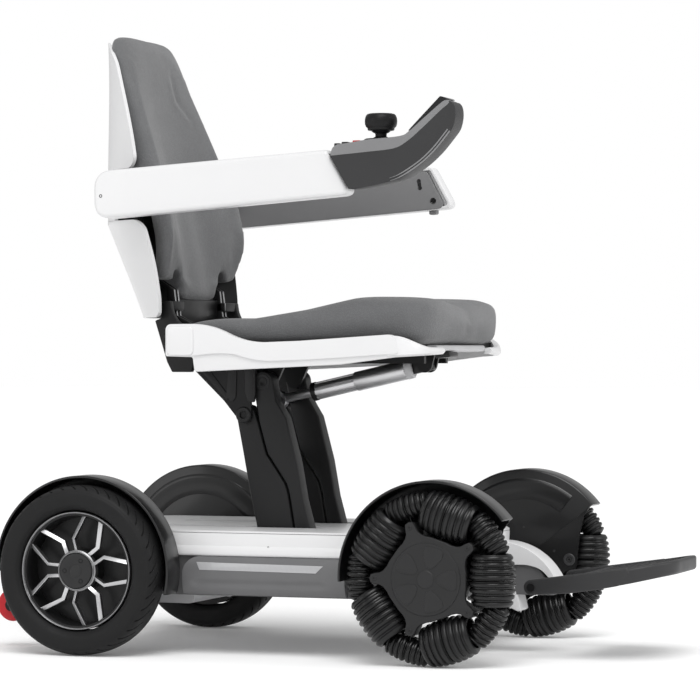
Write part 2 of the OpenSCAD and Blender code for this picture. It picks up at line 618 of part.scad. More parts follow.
module controller_body() color([0.22, 0.22, 0.23]) in_chair() mirror([0, 1, 0]) difference() {
    slab([[153 + seat_gap, 684], [221, 704], [297, 766], [304, 806], [299, 812], [222, 748], [116 + seat_gap, 748.5]],
         ctrl_in, ctrl_out);
    translate([stick_c[0], ctrl_y, stick_c[1] - 16]) cylinder(h = 40, r = 17);
    for (x = [127, 140, 159]) block([x - 4.4, ctrl_y - 6.4, 740], [x + 4.4, ctrl_y + 6.4, 760]);
}

module controller_panel() color("gray") in_chair() mirror([0, 1, 0]) difference() {
    slab([[118, 748.5 + seat_gap], [221, 748.5 + seat_gap], [298, 812.5 + seat_gap], [292, 821], [232, 768], [222, 762],
          [170, 756], [118, 754]], ctrl_in + 1, ctrl_out - 1);
    translate([stick_c[0], ctrl_y, stick_c[1]]) cylinder(h = 40, r = 17);
    for (x = [127, 140, 159]) block([x - 4.4, ctrl_y - 6.4, 740], [x + 4.4, ctrl_y + 6.4, 762]);
}

module joystick_gimbal() color("silver") in_chair() mirror([0, 1, 0]) translate([stick_c[0], ctrl_y, stick_c[1]]) difference() {
    union() {
        translate([0, 0, -4]) cylinder(h = 8, r = 13);
        translate([0, 16.4, 0]) rotate([90, 0, 0]) cylinder(h = 32.8, r = 2.5);
    }
    translate([0, 0, -10]) cylinder(h = 20, r = 9.5);
    translate([-20, 0, 0]) rotate([0, 90, 0]) cylinder(h = 40, r = 2 + run_fit);
}

module joystick_stick() color([0.1, 0.1, 0.1]) in_chair() mirror([0, 1, 0]) translate([stick_c[0], ctrl_y, stick_c[1]]) {
    translate([0, 0, -6]) cylinder(h = 40, r = 4.5);
    translate([-12.8, 0, 0]) rotate([0, 90, 0]) cylinder(h = 25.6, r = 2);
    translate([0, 0, 25]) rotate_extrude() polygon(concat([[0, 0]], [[8, 0]], [[9, 6]], arc([knob_r - 6, 12], 6, -80, 30, 6),
        [[knob_r - 4, 22], [knob_r - 7, 24], [0, 22]]));
}

module button(x, tint) color(tint) in_chair() mirror([0, 1, 0]) {
    block([x - 3.9, ctrl_y - 5.9, 744], [x + 3.9, ctrl_y + 5.9, 757.5]);
}
module power_button() button(159, "firebrick");
module horn_button() button(140, [0.1, 0.1, 0.1]);
module speed_button() button(127, [0.1, 0.1, 0.1]);

// Footplate: tread between two cheeks that hang on the hinge rod
module footplate() color([0.3, 0.3, 0.31]) in_chair() {
    tread_x = foot_pivot[0] + 66;
    slope = 9.6;
    rise = (foot_tip - foot_pivot[0]) * tan(slope);
    both_sides() difference() {
        slab(concat(arc(foot_pivot, 13, 100, 260), [[foot_tip - 45, 84 + rise * 0.8], [foot_tip - 45, 110 + rise * 0.72]]),
             foot_half - 8, foot_half);
        bar_y(foot_pivot, foot_rod_r + run_fit, foot_half - 9, foot_half + 1);
    }
    intersection() {
        slab([[tread_x, 98 + 66 * tan(slope) - 14], [foot_tip, 98 + rise - 12], [foot_tip, 98 + rise + 2],
              [foot_tip - 45, 98 + rise * 0.78 + 5], [tread_x, 98 + 66 * tan(slope) + 1]], -foot_half, foot_half);
        linear_extrude(400) polygon(concat([[tread_x, -foot_half], [tread_x, foot_half]],
            arc([foot_tip - 50, foot_half - 50], 50, 90, 0), arc([foot_tip - 50, -foot_half + 50], 50, 0, -90)));
    }
}

base_tray();
deck_cover();
side_covers();
side_lights();
rear_fenders();
front_fenders();
drive_motors();
battery_pack();
power_controller();
chassis_frame();
for (s = [["right", -1], ["left", 1]]) {
    color([0.13, 0.13, 0.14]) in_chair() rear_tyre(s[1]);
    color("silver") in_chair() rear_rim(s[1]);
    color([0.2, 0.2, 0.21]) in_chair() front_hub(s[1]);
    for (i = [0:roller_count - 1]) {
        large_roller(s[1], i);
        small_roller(s[1], i);
    }
    anti_tip_wheel(s[1]);
    armrest(s[1]);
    armrest_panel(s[1]);
}
rear_links();
front_links();
actuator_tube();
actuator_rod();
seat_frame();
seat_trim();
seat_cushion();
back_frame();
back_shell();
back_cushion();
controller_body();
controller_panel();
joystick_gimbal();
joystick_stick();
power_button();
horn_button();
speed_button();
footplate();
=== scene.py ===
"""Looks of the power wheelchair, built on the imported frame.

Lengths are millimetres in the chair's own frame: X forward from the point midway between the axles, Y to the
occupant's left, Z up from the floor. Shape.piece turns them into metres in the row frame.
"""

import json
import logging
import math
from dataclasses import dataclass
from enum import Enum
from typing import Callable, Iterable, Sequence

import bmesh
import bpy
from mathutils import Matrix, Vector


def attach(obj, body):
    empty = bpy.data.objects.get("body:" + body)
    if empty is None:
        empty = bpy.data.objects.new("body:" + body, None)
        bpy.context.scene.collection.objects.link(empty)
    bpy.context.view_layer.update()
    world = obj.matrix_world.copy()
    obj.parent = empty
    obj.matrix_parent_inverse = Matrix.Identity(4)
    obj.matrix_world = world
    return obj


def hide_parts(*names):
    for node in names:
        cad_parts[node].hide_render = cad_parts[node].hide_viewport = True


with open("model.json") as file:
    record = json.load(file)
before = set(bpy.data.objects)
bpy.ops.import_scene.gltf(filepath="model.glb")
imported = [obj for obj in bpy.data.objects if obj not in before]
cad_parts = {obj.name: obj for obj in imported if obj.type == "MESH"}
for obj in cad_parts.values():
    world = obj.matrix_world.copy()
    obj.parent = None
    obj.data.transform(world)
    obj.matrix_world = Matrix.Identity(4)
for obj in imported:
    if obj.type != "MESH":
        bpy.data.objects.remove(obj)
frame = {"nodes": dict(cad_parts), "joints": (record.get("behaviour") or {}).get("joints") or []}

LOG = logging.getLogger("wheelchair")
Point2 = tuple[float, float]
Point3 = tuple[float, float, float]
Colour = tuple[float, float, float]
Socket = bpy.types.NodeSocket
Verts = list[bmesh.types.BMVert]
MM = 0.001
# Radius that stands for the axis in a turned profile
AXIS = 0.02
JOINTS = {joint["name"]: joint for joint in frame["joints"]}


class Side(Enum):
    """The occupant's right or left, as the sign of Y."""

    RIGHT = -1
    LEFT = 1

    @property
    def word(self) -> str:
        """The side as node names spell it."""
        return self.name.lower()


def joint_x(name: str) -> float:
    """X of a joint in millimetres in the row frame."""
    return JOINTS[name]["pos_m"][0] / MM


MID_X = (joint_x("rear_wheel_right_spin") + joint_x("front_hub_right_spin")) / 2
REAR_X = joint_x("rear_wheel_right_spin") - MID_X
FRONT_X = joint_x("front_hub_right_spin") - MID_X
WHEEL_R = JOINTS["rear_wheel_right_spin"]["pos_m"][2] / MM
WHEEL_Y = JOINTS["rear_wheel_left_spin"]["pos_m"][1] / MM
TO_ROW = Matrix.Translation((MID_X * MM, 0, 0)) @ Matrix.Scale(MM, 4)


# Places and curves

def at(x: float, z: float, y: float = 0.0) -> Matrix:
    """Moves the origin to a point."""
    return Matrix.Translation((x, y, z))


def about_y(degrees: float) -> Matrix:
    """Turns X towards Z by an angle."""
    return Matrix.Rotation(math.radians(-degrees), 4, "Y")


def facing(sign: float) -> Matrix:
    """Mirrors Y where the sign is negative."""
    return Matrix.Scale(sign, 4, (0, 1, 0))


def arc(centre: Point2, r: float, a0: float, a1: float, n: int = 8) -> list[Point2]:
    """Points of an arc, in degrees from a0 to a1."""
    turns = [math.radians(a0 + (a1 - a0) * i / n) for i in range(n + 1)]
    return [(centre[0] + r * math.cos(t), centre[1] + r * math.sin(t)) for t in turns]


def ramp(x: float, a: float, b: float) -> float:
    """Smooth step from 0 at a to 1 at b."""
    t = min(1.0, max(0.0, (x - a) / (b - a)))
    return t * t * (3 - 2 * t)


def bump(x: float, centre: float, width: float) -> float:
    """A bell of height 1."""
    return math.exp(-(((x - centre) / width) ** 2))


def spow(value: float, power: float) -> float:
    """Signed power, for superellipses."""
    return math.copysign(abs(value) ** power, value)


def flow(points: Sequence[Point2], n: int = 6) -> list[Point2]:
    """A smooth open curve through points, with n steps between each two."""
    ends = [points[0], *points, points[-1]]
    curve = []
    for p0, p1, p2, p3 in zip(ends, ends[1:], ends[2:], ends[3:]):
        for k in range(n):
            t = k / n
            curve.append(tuple(0.5 * (2 * b + (c - a) * t + (2 * a - 5 * b + 4 * c - d) * t * t
                                      + (3 * b - a - 3 * c + d) * t ** 3)
                               for a, b, c, d in zip(p0, p1, p2, p3)))
    return curve + [points[-1]]


def rounded(corners: Sequence[Point3], n: int = 8) -> list[Point2]:
    """An outline whose corners are rounded, each by its own radius.

    Args:
        corners: x, z and radius of each corner.
        n: steps of each round.

    Returns:
        The outline's points.
    """
    outline = []
    for i, (x, z, r) in enumerate(corners):
        here = Vector((x, z))
        back = Vector(corners[i - 1][:2]) - here
        ahead = Vector(corners[(i + 1) % len(corners)][:2]) - here
        cut = min(r / math.tan(back.angle(ahead) / 2), 0.49 * back.length, 0.49 * ahead.length)
        start, stop = here + back.normalized() * cut, here + ahead.normalized() * cut
        for k in range(n + 1):
            spot = start.lerp(here, k / n).lerp(here.lerp(stop, k / n), k / n)
            outline.append((spot.x, spot.y))
    return outline


# Finishes

class Tree:
    """A material's node tree with short ways to add nodes and join them."""

    def __init__(self, name: str) -> None:
        """Starts an empty tree with a Principled shader."""
        self.material = bpy.data.materials.new(name)
        self.material.use_nodes = True
        self.nodes = self.material.node_tree.nodes
        self.shader = self.nodes["Principled BSDF"]

    def add(self, kind: str, **values: object) -> bpy.types.Node:
        """Adds a node.

        Args:
            kind: the node's type name without its prefix.
            values: attributes, or input sockets with spaces as underscores.

        Returns:
            The node.
        """
        node = self.nodes.new("ShaderNode" + kind)
        for key, value in values.items():
            socket = node.inputs.get(key.replace("_", " "))
            if socket is not None:
                socket.default_value = value
            else:
                setattr(node, key, value)
        return node

    def feed(self, value: Socket | Colour | float, target: Socket) -> None:
        """Links an output to an input, or sets the input to a constant."""
        if isinstance(value, Socket):
            self.material.node_tree.links.new(value, target)
        else:
            target.default_value = (*value, 1) if target.type == "RGBA" else value

    def set(self, **values: Socket | Colour | float) -> None:
        """Feeds the shader's sockets, named with underscores for spaces."""
        for key, value in values.items():
            self.feed(value, self.shader.inputs[key.replace("_", " ")])

    def place(self, scale: Sequence[float] = (1, 1, 1)) -> Socket:
        """Object coordinates, stretched by scale."""
        mapping = self.add("Mapping", Scale=scale)
        self.feed(self.add("TexCoord").outputs["Object"], mapping.inputs["Vector"])
        return mapping.outputs["Vector"]

    def noise(self, scale: float, detail: float = 3.0, stretch: Sequence[float] = (1, 1, 1)) -> Socket:
        """Noise value of a given fineness per metre."""
        node = self.add("TexNoise", Scale=scale, Detail=detail, Roughness=0.6)
        self.feed(self.place(stretch), node.inputs["Vector"])
        return node.outputs["Fac"]

    def span(self, value: Socket, low: float, high: float, start: float = 0.3, stop: float = 0.7) -> Socket:
        """Maps start to stop of a value onto low to high."""
        node = self.add("MapRange")
        for socket, number in zip(node.inputs, (value, start, stop, low, high)):
            self.feed(number, socket)
        return node.outputs[0]

    def mix(self, factor: Socket | float, a: Socket | Colour, b: Socket | Colour,
            mode: str = "MIX") -> Socket:
        """Mixes two colours by a factor."""
        node = self.add("Mix", data_type="RGBA", blend_type=mode)
        colours = [s for s in node.inputs if s.type == "RGBA"]
        for value, socket in zip((factor, a, b), (node.inputs[0], *colours)):
            self.feed(value, socket)
        return next(s for s in node.outputs if s.type == "RGBA")

    def relief(self, heights: Iterable[tuple[Socket, float]]) -> None:
        """Stacks bump layers, each a height and its depth in metres, on the shader's normal."""
        normal = None
        for height, depth in heights:
            node = self.add("Bump", Strength=1.0, Distance=depth)
            self.feed(height, node.inputs["Height"])
            if normal is not None:
                self.feed(normal, node.inputs["Normal"])
            normal = node.outputs["Normal"]
        self.set(Normal=normal)


def shade(colour: Colour, by: float) -> Colour:
    """A colour made lighter or darker by a share."""
    return tuple(min(1.0, max(0.0, c * (1 + by))) for c in colour)


@dataclass(frozen=True)
class Finish:
    """A finish by name and colour; each kind fills the material's nodes in its own way."""

    name: str
    colour: Colour

    def fill(self, tree: Tree) -> None:
        """Adds the nodes of the finish."""
        raise NotImplementedError

    def clouded(self, tree: Tree, value: Socket, by: float) -> Socket:
        """The colour, varied by a share either way as a value says."""
        return tree.mix(value, shade(self.colour, -by), shade(self.colour, by))

    def material(self) -> bpy.types.Material:
        """The finish as a material, made once."""
        made = bpy.data.materials.get(self.name)
        if made is None:
            tree = Tree(self.name)
            self.fill(tree)
            made = tree.material
        return made


@dataclass(frozen=True)
class Moulded(Finish):
    """Moulded plastic: fine spark grain, soft mottling, edges rubbed a little lighter."""

    roughness: float = 0.45
    grain: float = 1400.0
    depth: float = 0.00004
    mottle: float = 0.05
    rub: float = 0.0
    coat: float = 0.0
    specular: float = 0.5
    vary: float = 0.05

    def fill(self, tree: Tree) -> None:
        """Adds the nodes of the finish."""
        colour = self.clouded(tree, tree.span(tree.noise(14.0, 4.0), 0, 1), self.mottle)
        if self.rub:
            edge = tree.span(tree.add("NewGeometry").outputs["Pointiness"], 0, self.rub, 0.51, 0.58)
            colour = tree.mix(edge, colour, shade(self.colour, 1.5))
        rough = tree.span(tree.noise(24.0, 2.0), self.roughness - self.vary, self.roughness + self.vary)
        tree.set(Base_Color=colour, Roughness=rough, Coat_Weight=self.coat, Coat_Roughness=0.12,
                 Specular_IOR_Level=self.specular)
        tree.relief([(tree.noise(self.grain, 2.0), self.depth), (tree.noise(9.0, 2.0), self.depth * 6)])


@dataclass(frozen=True)
class Rubber(Finish):
    """Rubber: dull, with a fine skin and a trace of dust in the low frequencies."""

    dust: float = 0.12
    roughness: float = 0.62
    specular: float = 0.2
    skin: float = 0.00002

    def fill(self, tree: Tree) -> None:
        """Adds the nodes of the finish."""
        clouds = tree.span(tree.noise(22.0, 6.0), 0, 1, 0.35, 0.75)
        tree.set(Base_Color=tree.mix(clouds, self.colour, shade(self.colour, self.dust * 4)),
                 Roughness=tree.span(clouds, self.roughness - 0.08, self.roughness + 0.1),
                 Specular_IOR_Level=self.specular)
        tree.relief([(tree.noise(900.0, 3.0), self.skin), (tree.noise(120.0, 2.0), self.skin)])


@dataclass(frozen=True)
class Metal(Finish):
    """Machined or coated metal with fine tool lines along one axis."""

    roughness: float = 0.28
    metallic: float = 1.0
    lines: Point3 = (1.0, 1.0, 1.0)
    depth: float = 0.000006
    specular: float = 0.5

    def fill(self, tree: Tree) -> None:
        """Adds the nodes of the finish."""
        streaks = tree.noise(420.0, 4.0, self.lines)
        tree.set(Base_Color=self.clouded(tree, tree.span(streaks, 0, 1), 0.05), Metallic=self.metallic,
                 Roughness=tree.span(streaks, self.roughness - 0.03, self.roughness + 0.05),
                 Specular_IOR_Level=self.specular)
        tree.relief([(streaks, self.depth), (tree.noise(35.0, 2.0), self.depth * 3)])


@dataclass(frozen=True)
class Knit(Finish):
    """Stretch cover: small knit loops, soft sheen and cloudy nap."""

    loops: float = 620.0
    sheen: float = 0.25

    def fill(self, tree: Tree) -> None:
        """Adds the nodes of the finish."""
        cells = tree.add("TexVoronoi", feature="F1", Scale=self.loops)
        tree.feed(tree.place((1.0, 1.0, 0.7)), cells.inputs["Vector"])
        loop = tree.span(cells.outputs["Distance"], 1.0, 0.0, 0.0, 0.6)
        nap = tree.span(tree.noise(26.0, 5.0), 0, 1)
        base = tree.mix(nap, shade(self.colour, -0.07), shade(self.colour, 0.06))
        shadow = tree.mix(loop, (0.78, 0.78, 0.78), (1.0, 1.0, 1.0))
        tree.set(Base_Color=tree.mix(1.0, base, shadow, "MULTIPLY"), Roughness=0.82, Sheen_Weight=self.sheen,
                 Sheen_Roughness=0.5, Specular_IOR_Level=0.25)
        tree.relief([(loop, 0.00035), (tree.noise(90.0, 3.0), 0.0004)])


@dataclass(frozen=True)
class Lens(Finish):
    """Smooth translucent strip over a light, unlit."""

    roughness: float = 0.2

    def fill(self, tree: Tree) -> None:
        """Adds the nodes of the finish."""
        flutes = tree.add("TexWave", Scale=160.0, Distortion=0.0)
        tree.feed(tree.place(), flutes.inputs["Vector"])
        tree.set(Base_Color=self.clouded(tree, flutes.outputs["Fac"], 0.06), Roughness=self.roughness,
                 Coat_Weight=0.6)
        tree.relief([(flutes.outputs["Fac"], 0.0001)])


WHITE = Moulded("gloss_white", (0.7, 0.7, 0.705), 0.32, 900.0, 0.0000006, 0.008, 0.0, 0.15, 0.45, 0.02)
GREY = Moulded("cover_grey", (0.118, 0.118, 0.121), 0.42, 1500.0, 0.00001, 0.04, 0.08)
DARK = Moulded("housing_dark", (0.03, 0.03, 0.031), 0.46, 1500.0, 0.00002, 0.05, 0.1, 0.0, 0.32)
PANEL = Moulded("panel_grey", (0.165, 0.165, 0.168), 0.48, 1500.0, 0.00002, 0.04, 0.06)
INSET = Moulded("tray_grey", (0.1, 0.1, 0.102), 0.48, 1500.0, 0.00002, 0.04, 0.06)
STRIP = Moulded("strip_grey", (0.19, 0.19, 0.194), 0.4, 1500.0, 0.00001, 0.03, 0.0)
FENDER = Moulded("fender_gloss", (0.006, 0.006, 0.0063), 0.34, 1600.0, 0.000002, 0.06, 0.0, 0.3, 0.35, 0.02)
BLACK = Moulded("trim_black", (0.006, 0.006, 0.0063), 0.38, 1600.0, 0.00001, 0.08, 0.1, 0.05, 0.3)
HUB = Moulded("hub_black", (0.018, 0.018, 0.0185), 0.48, 1600.0, 0.00002, 0.06, 0.1, 0.0, 0.28)
PALE = Moulded("battery_grey", (0.5, 0.5, 0.51), 0.45, 1500.0, 0.00002, 0.04, 0.0)
RED = Moulded("key_red", (0.42, 0.012, 0.012), 0.35, 1500.0, 0.00001, 0.04, 0.0, 0.1)
# Near-black gloss: the screen's own colour, and painted shade where it fills the armrest's socket holes.
SCREEN_AND_HOLE_SHADE = Moulded("screen_black_and_hole_shade", (0.004, 0.004, 0.0045), 0.14, 400.0, 0.000001, 0.02, 0.0, 0.4, 0.4)
TYRE = Rubber("tyre_compound", (0.011, 0.011, 0.0113), 0.1, 0.6, 0.16)
ROLLER = Rubber("roller_compound", (0.005, 0.005, 0.0052), 0.1, 0.34, 0.35)
KNOB = Rubber("knob_rubber", (0.008, 0.008, 0.0084), 0.08, 0.5)
TIP = Rubber("tip_red", (0.42, 0.022, 0.028), 0.05, 0.5)
SILVER = Metal("machined_silver", (0.62, 0.62, 0.63), 0.36, 1.0, (0.12, 1.0, 1.0), 0.0000015)
SATIN = Metal("satin_alloy", (0.3, 0.3, 0.305), 0.42, 1.0, (0.1, 1.0, 1.0), 0.000002)
COATED = Metal("coated_steel", (0.009, 0.009, 0.0094), 0.4, 0.2, (1.0, 1.0, 0.3), 0.000003, 0.28)
LINK = Metal("link_coat", (0.014, 0.014, 0.0145), 0.42, 0.15, (1.0, 1.0, 0.25), 0.000003, 0.3)
BRIGHT = Metal("ground_steel", (0.6, 0.6, 0.61), 0.36, 1.0, (1.0, 1.0, 0.15), 0.000001)
FABRIC = Knit("stretch_grey", (0.15, 0.152, 0.156))
LIGHT = Lens("light_lens", (0.4, 0.4, 0.41))


# Mesh building

def only(geometry: Iterable[object], kind: type) -> list:
    """The members of one kind."""
    return [g for g in geometry if isinstance(g, kind)]


class Shape:
    """A mesh under construction, made of bmesh operators."""

    def __init__(self) -> None:
        """Starts empty."""
        self.bm = bmesh.new()

    def _fresh(self, before: set) -> Verts:
        """Vertices made since a snapshot."""
        return [v for v in self.bm.verts if v not in before]

    def _loop(self, points: Iterable[Sequence[float]]) -> list[bmesh.types.BMEdge]:
        """A closed loop of edges through points."""
        verts = [self.bm.verts.new(p) for p in points]
        return [self.bm.edges.new(pair) for pair in zip(verts, verts[1:] + verts[:1])]

    def _extrude(self, faces: list[bmesh.types.BMFace], by: Point3) -> None:
        """Pulls faces out along a vector."""
        grown = bmesh.ops.extrude_face_region(self.bm, geom=faces)
        bmesh.ops.translate(self.bm, verts=only(grown["geom"], bmesh.types.BMVert), vec=by)

    def normals(self) -> None:
        """Points all faces outwards."""
        bmesh.ops.recalc_face_normals(self.bm, faces=self.bm.faces[:])

    def move(self, where: Matrix, verts: Verts | None = None) -> None:
        """Moves some vertices, or all of them."""
        bmesh.ops.transform(self.bm, matrix=where, verts=self.bm.verts[:] if verts is None else verts)

    def prism(self, outline: Sequence[Point2], y0: float, y1: float) -> Verts:
        """An XZ outline thickened along Y.

        Args:
            outline: the outline's points.
            y0: first face.
            y1: second face.

        Returns:
            The new vertices.
        """
        before = set(self.bm.verts)
        face = self.bm.faces.new([self.bm.verts.new((x, y0, z)) for x, z in outline])
        self._extrude([face], (0, y1 - y0, 0))
        return self._fresh(before)

    def lathe(self, profile: Sequence[Point2], where: Matrix, steps: int = 96, closed: bool = True,
              angle: float = 360.0, start: float = 0.0) -> Verts:
        """A profile of (radius, along) turned round the local Y axis.

        Args:
            profile: the profile's points.
            where: place of the local frame.
            steps: divisions of the turn.
            closed: whether the profile's ends join.
            angle: turn in degrees.
            start: where the turn starts, in degrees from X towards Z.

        Returns:
            The new vertices.
        """
        before = set(self.bm.verts)
        points = [self.bm.verts.new((r, along, 0)) for r, along in profile]
        pairs = list(zip(points, points[1:])) + ([(points[-1], points[0])] if closed else [])
        edges = [self.bm.edges.new(pair) for pair in pairs]
        full = abs(angle) >= 359.9
        if closed and not full:
            self.bm.faces.new(points)
        spun = bmesh.ops.spin(self.bm, geom=points + edges, cent=(0, 0, 0), axis=(0, -1, 0),
                              angle=math.radians(angle), steps=steps, use_merge=full)
        if closed and not full:
            bmesh.ops.contextual_create(self.bm, geom=only(spun["geom_last"], bmesh.types.BMEdge))
        fresh = self._fresh(before)
        self.move(where @ about_y(start), fresh)
        bmesh.ops.remove_doubles(self.bm, verts=fresh, dist=0.002)
        return [v for v in fresh if v.is_valid]

    def block(self, low: Sequence[float], high: Sequence[float]) -> Verts:
        """A block between two corners."""
        size = [h - l for l, h in zip(low, high)]
        centre = [(h + l) / 2 for l, h in zip(low, high)]
        made = bmesh.ops.create_cube(self.bm, size=1.0)["verts"]
        bmesh.ops.scale(self.bm, vec=size, verts=made)
        bmesh.ops.translate(self.bm, vec=centre, verts=made)
        return made

    def rod(self, a: Sequence[float], b: Sequence[float], r: float, segments: int = 32) -> Verts:
        """A round bar between two points."""
        a, b = Vector(a), Vector(b)
        turn = (b - a).to_track_quat("Z", "Y").to_matrix().to_4x4()
        where = Matrix.Translation((a + b) / 2) @ turn
        return bmesh.ops.create_cone(self.bm, cap_ends=True, segments=segments, radius1=r, radius2=r,
                                     depth=(b - a).length, matrix=where)["verts"]

    def loft(self, rings: Sequence[Sequence[Sequence[float]]], capped: bool = True) -> None:
        """A skin bridged through rings of points.

        Args:
            rings: closed rings with the same number of points.
            capped: whether the first and last ring are filled.
        """
        loops = [self._loop(ring) for ring in rings]
        for lower, upper in zip(loops, loops[1:]):
            bmesh.ops.bridge_loops(self.bm, edges=lower + upper)
        if capped:
            for loop in (loops[0], loops[-1]):
                bmesh.ops.contextual_create(self.bm, geom=loop)

    def plate(self, outer: Sequence[Point2], holes: Sequence[Sequence[Point2]], z0: float, z1: float) -> None:
        """An XY plate with holes, from z0 to z1."""
        edges = []
        for loop in [outer, *holes]:
            edges += self._loop((x, y, z0) for x, y in loop)
        filled = bmesh.ops.triangle_fill(self.bm, edges=edges, use_beauty=True, use_dissolve=True)
        self._extrude(only(filled["geom"], bmesh.types.BMFace), (0, 0, z1 - z0))

    def bevel(self, width: float, segments: int = 3, angle: float = 28.0,
              where: Callable[[Vector], bool] | None = None) -> None:
        """Rounds sharp edges.

        Args:
            width: how far the round reaches from the edge.
            segments: steps of the round.
            angle: edges that turn by more, in degrees, are rounded.
            where: test of an edge's middle that allows it.
        """
        self.normals()
        sharp = [e for e in self.bm.edges if len(e.link_faces) == 2
                 and e.calc_face_angle(0) > math.radians(angle)
                 and (where is None or where((e.verts[0].co + e.verts[1].co) / 2))]
        bmesh.ops.bevel(self.bm, geom=sharp, offset=width, offset_type="OFFSET", segments=segments,
                        profile=0.5, affect="EDGES", clamp_overlap=True, material=-1)

    def mirrored(self) -> "Shape":
        """Adds the mirror image across the middle plane."""
        copied = bmesh.ops.duplicate(self.bm, geom=self.bm.verts[:] + self.bm.edges[:] + self.bm.faces[:])
        bmesh.ops.scale(self.bm, vec=(1, -1, 1), verts=only(copied["geom"], bmesh.types.BMVert))
        bmesh.ops.reverse_faces(self.bm, faces=only(copied["geom"], bmesh.types.BMFace))
        return self

    def paint(self, test: Callable[[bmesh.types.BMFace], bool]) -> None:
        """Marks the faces that a test picks for the piece's accent finish."""
        self.normals()
        for face in self.bm.faces:
            if test(face):
                face.material_index = 1

    def piece(self, name: str, finish: Finish, body: str, slot: str, replaces: Sequence[str] = (),
              smooth: float = 38.0, accent: Finish | None = None) -> bpy.types.Object:
        """Finishes the mesh as an object that rides on a body.

        Args:
            name: the piece's name.
            finish: its finish.
            body: the body that it moves with.
            slot: the record's material slot; not used.
            replaces: CAD nodes that it stands for.
            smooth: edges that turn by less, in degrees, are shaded smooth.
            accent: finish of the painted faces.

        Returns:
            The object.
        """
        bmesh.ops.remove_doubles(self.bm, verts=self.bm.verts[:], dist=0.004)
        self.normals()
        self.move(TO_ROW)
        mesh = bpy.data.meshes.new(name)
        self.bm.to_mesh(mesh)
        self.bm.free()
        mesh.shade_smooth()
        mesh.set_sharp_from_angle(angle=math.radians(smooth))
        mesh.materials.append(finish.material())
        if accent is not None:
            mesh.materials.append(accent.material())
        made = bpy.data.objects.new(name, mesh)
        bpy.context.scene.collection.objects.link(made)
        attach(made, body)
        if replaces:
            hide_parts(*replaces)
        LOG.info("%s: %d faces on %s", name, len(mesh.polygons), body)
        return made


def slab(name: str, outline: Sequence[Point2], span: Point2, edge: float, finish: Finish, body: str,
         slot: str) -> None:
    """A piece made of one outline thickened along Y with rounded edges.

    Args:
        name: the piece's name.
        outline: the outline's points.
        span: its two faces on Y.
        edge: width of the round.
        finish: its finish.
        body: the body that it moves with.
        slot: the record's material slot.
    """
    shape = Shape()
    shape.prism(outline, *span)
    shape.bevel(edge, 3, 50)
    shape.piece(name, finish, body, slot, smooth=30)


def screw(shape: Shape, place: Matrix, r: float) -> None:
    """A small socket screw, its head towards the frame's Y and its base at the origin.

    Args:
        shape: the mesh it is added to.
        place: its frame.
        r: head radius.
    """
    shape.lathe([(AXIS, -0.2 * r), (0.42 * r, -0.2 * r), (0.5 * r, 0.2 * r), (0.8 * r, 0.26 * r),
                 (r, 0.04 * r), (r, -0.4 * r), (AXIS, -0.4 * r)], place, 20)


def carve(made: bpy.types.Object, cutter: Shape) -> None:
    """Cuts a shape out of a piece and keeps the result in the piece's mesh.

    Args:
        made: the piece.
        cutter: what is cut away.
    """
    cutter.bm.transform(TO_ROW)
    mesh = bpy.data.meshes.new("cutter")
    cutter.bm.to_mesh(mesh)
    cutter.bm.free()
    tool = bpy.data.objects.new("cutter", mesh)
    bpy.context.scene.collection.objects.link(tool)
    cut = made.modifiers.new("cut", "BOOLEAN")
    cut.object = tool
    cut.solver = "EXACT"
    made.data = applied(made)
    bpy.data.objects.remove(tool)
    bpy.data.meshes.remove(mesh)


def applied(made: bpy.types.Object) -> bpy.types.Mesh:
    """The piece's mesh with its modifiers applied; the modifiers go."""
    graph = bpy.context.evaluated_depsgraph_get()
    mesh = bpy.data.meshes.new_from_object(made.evaluated_get(graph))
    made.modifiers.clear()
    return mesh


@dataclass(frozen=True)
class Plump:
    """A short cloth run that swells a cushion.

    Attributes:
        voxel: remesh size in metres.
        limit: farthest that a point may move, in metres.
        pressure: inner pressure of the cloth.
        passes: rounds of smoothing after it.
    """

    voxel: float
    limit: float
    pressure: float
    passes: int
    frames: int = 20

    def run(self, made: bpy.types.Object) -> None:
        """Swells a cushion, keeps the result in its mesh and smooths it."""
        self.swell(made)
        bm = bmesh.new()
        bm.from_mesh(made.data)
        for _ in range(self.passes):
            bmesh.ops.smooth_vert(bm, verts=bm.verts[:], factor=0.5, use_axis_x=True, use_axis_y=True,
                                  use_axis_z=True)
        bmesh.ops.recalc_face_normals(bm, faces=bm.faces[:])
        bm.to_mesh(made.data)
        bm.free()
        made.data.shade_smooth()

    def swell(self, made: bpy.types.Object) -> None:
        """Remeshes a cushion and lets the cloth swell up to the limit."""
        scene = bpy.context.scene
        remesh = made.modifiers.new("remesh", "REMESH")
        remesh.mode = "VOXEL"
        remesh.voxel_size = self.voxel
        made.data = applied(made)
        before = [v.co.copy() for v in made.data.vertices]
        cloth = made.modifiers.new("cloth", "CLOTH")
        cloth.settings.quality = 4
        cloth.settings.mass = 0.4
        cloth.settings.tension_stiffness = 25
        cloth.settings.compression_stiffness = 25
        cloth.settings.bending_stiffness = 4
        cloth.settings.use_pressure = True
        cloth.settings.uniform_pressure_force = self.pressure
        cloth.settings.effector_weights.gravity = 0
        cloth.point_cache.frame_end = self.frames
        for step in range(1, self.frames + 1):
            scene.frame_set(step)
        swollen = applied(made)
        for vertex, old in zip(swollen.vertices, before):
            step = vertex.co - old
            if step.length > self.limit:
                vertex.co = old + step * (self.limit / step.length)
        made.data = swollen
        scene.frame_set(1)


def dress(node: str, finish: Finish) -> None:
    """Gives a CAD node that stays in view a finish."""
    for entry in frame["nodes"][node].material_slots:
        entry.material = finish.material()
    LOG.info("%s: dressed", node)


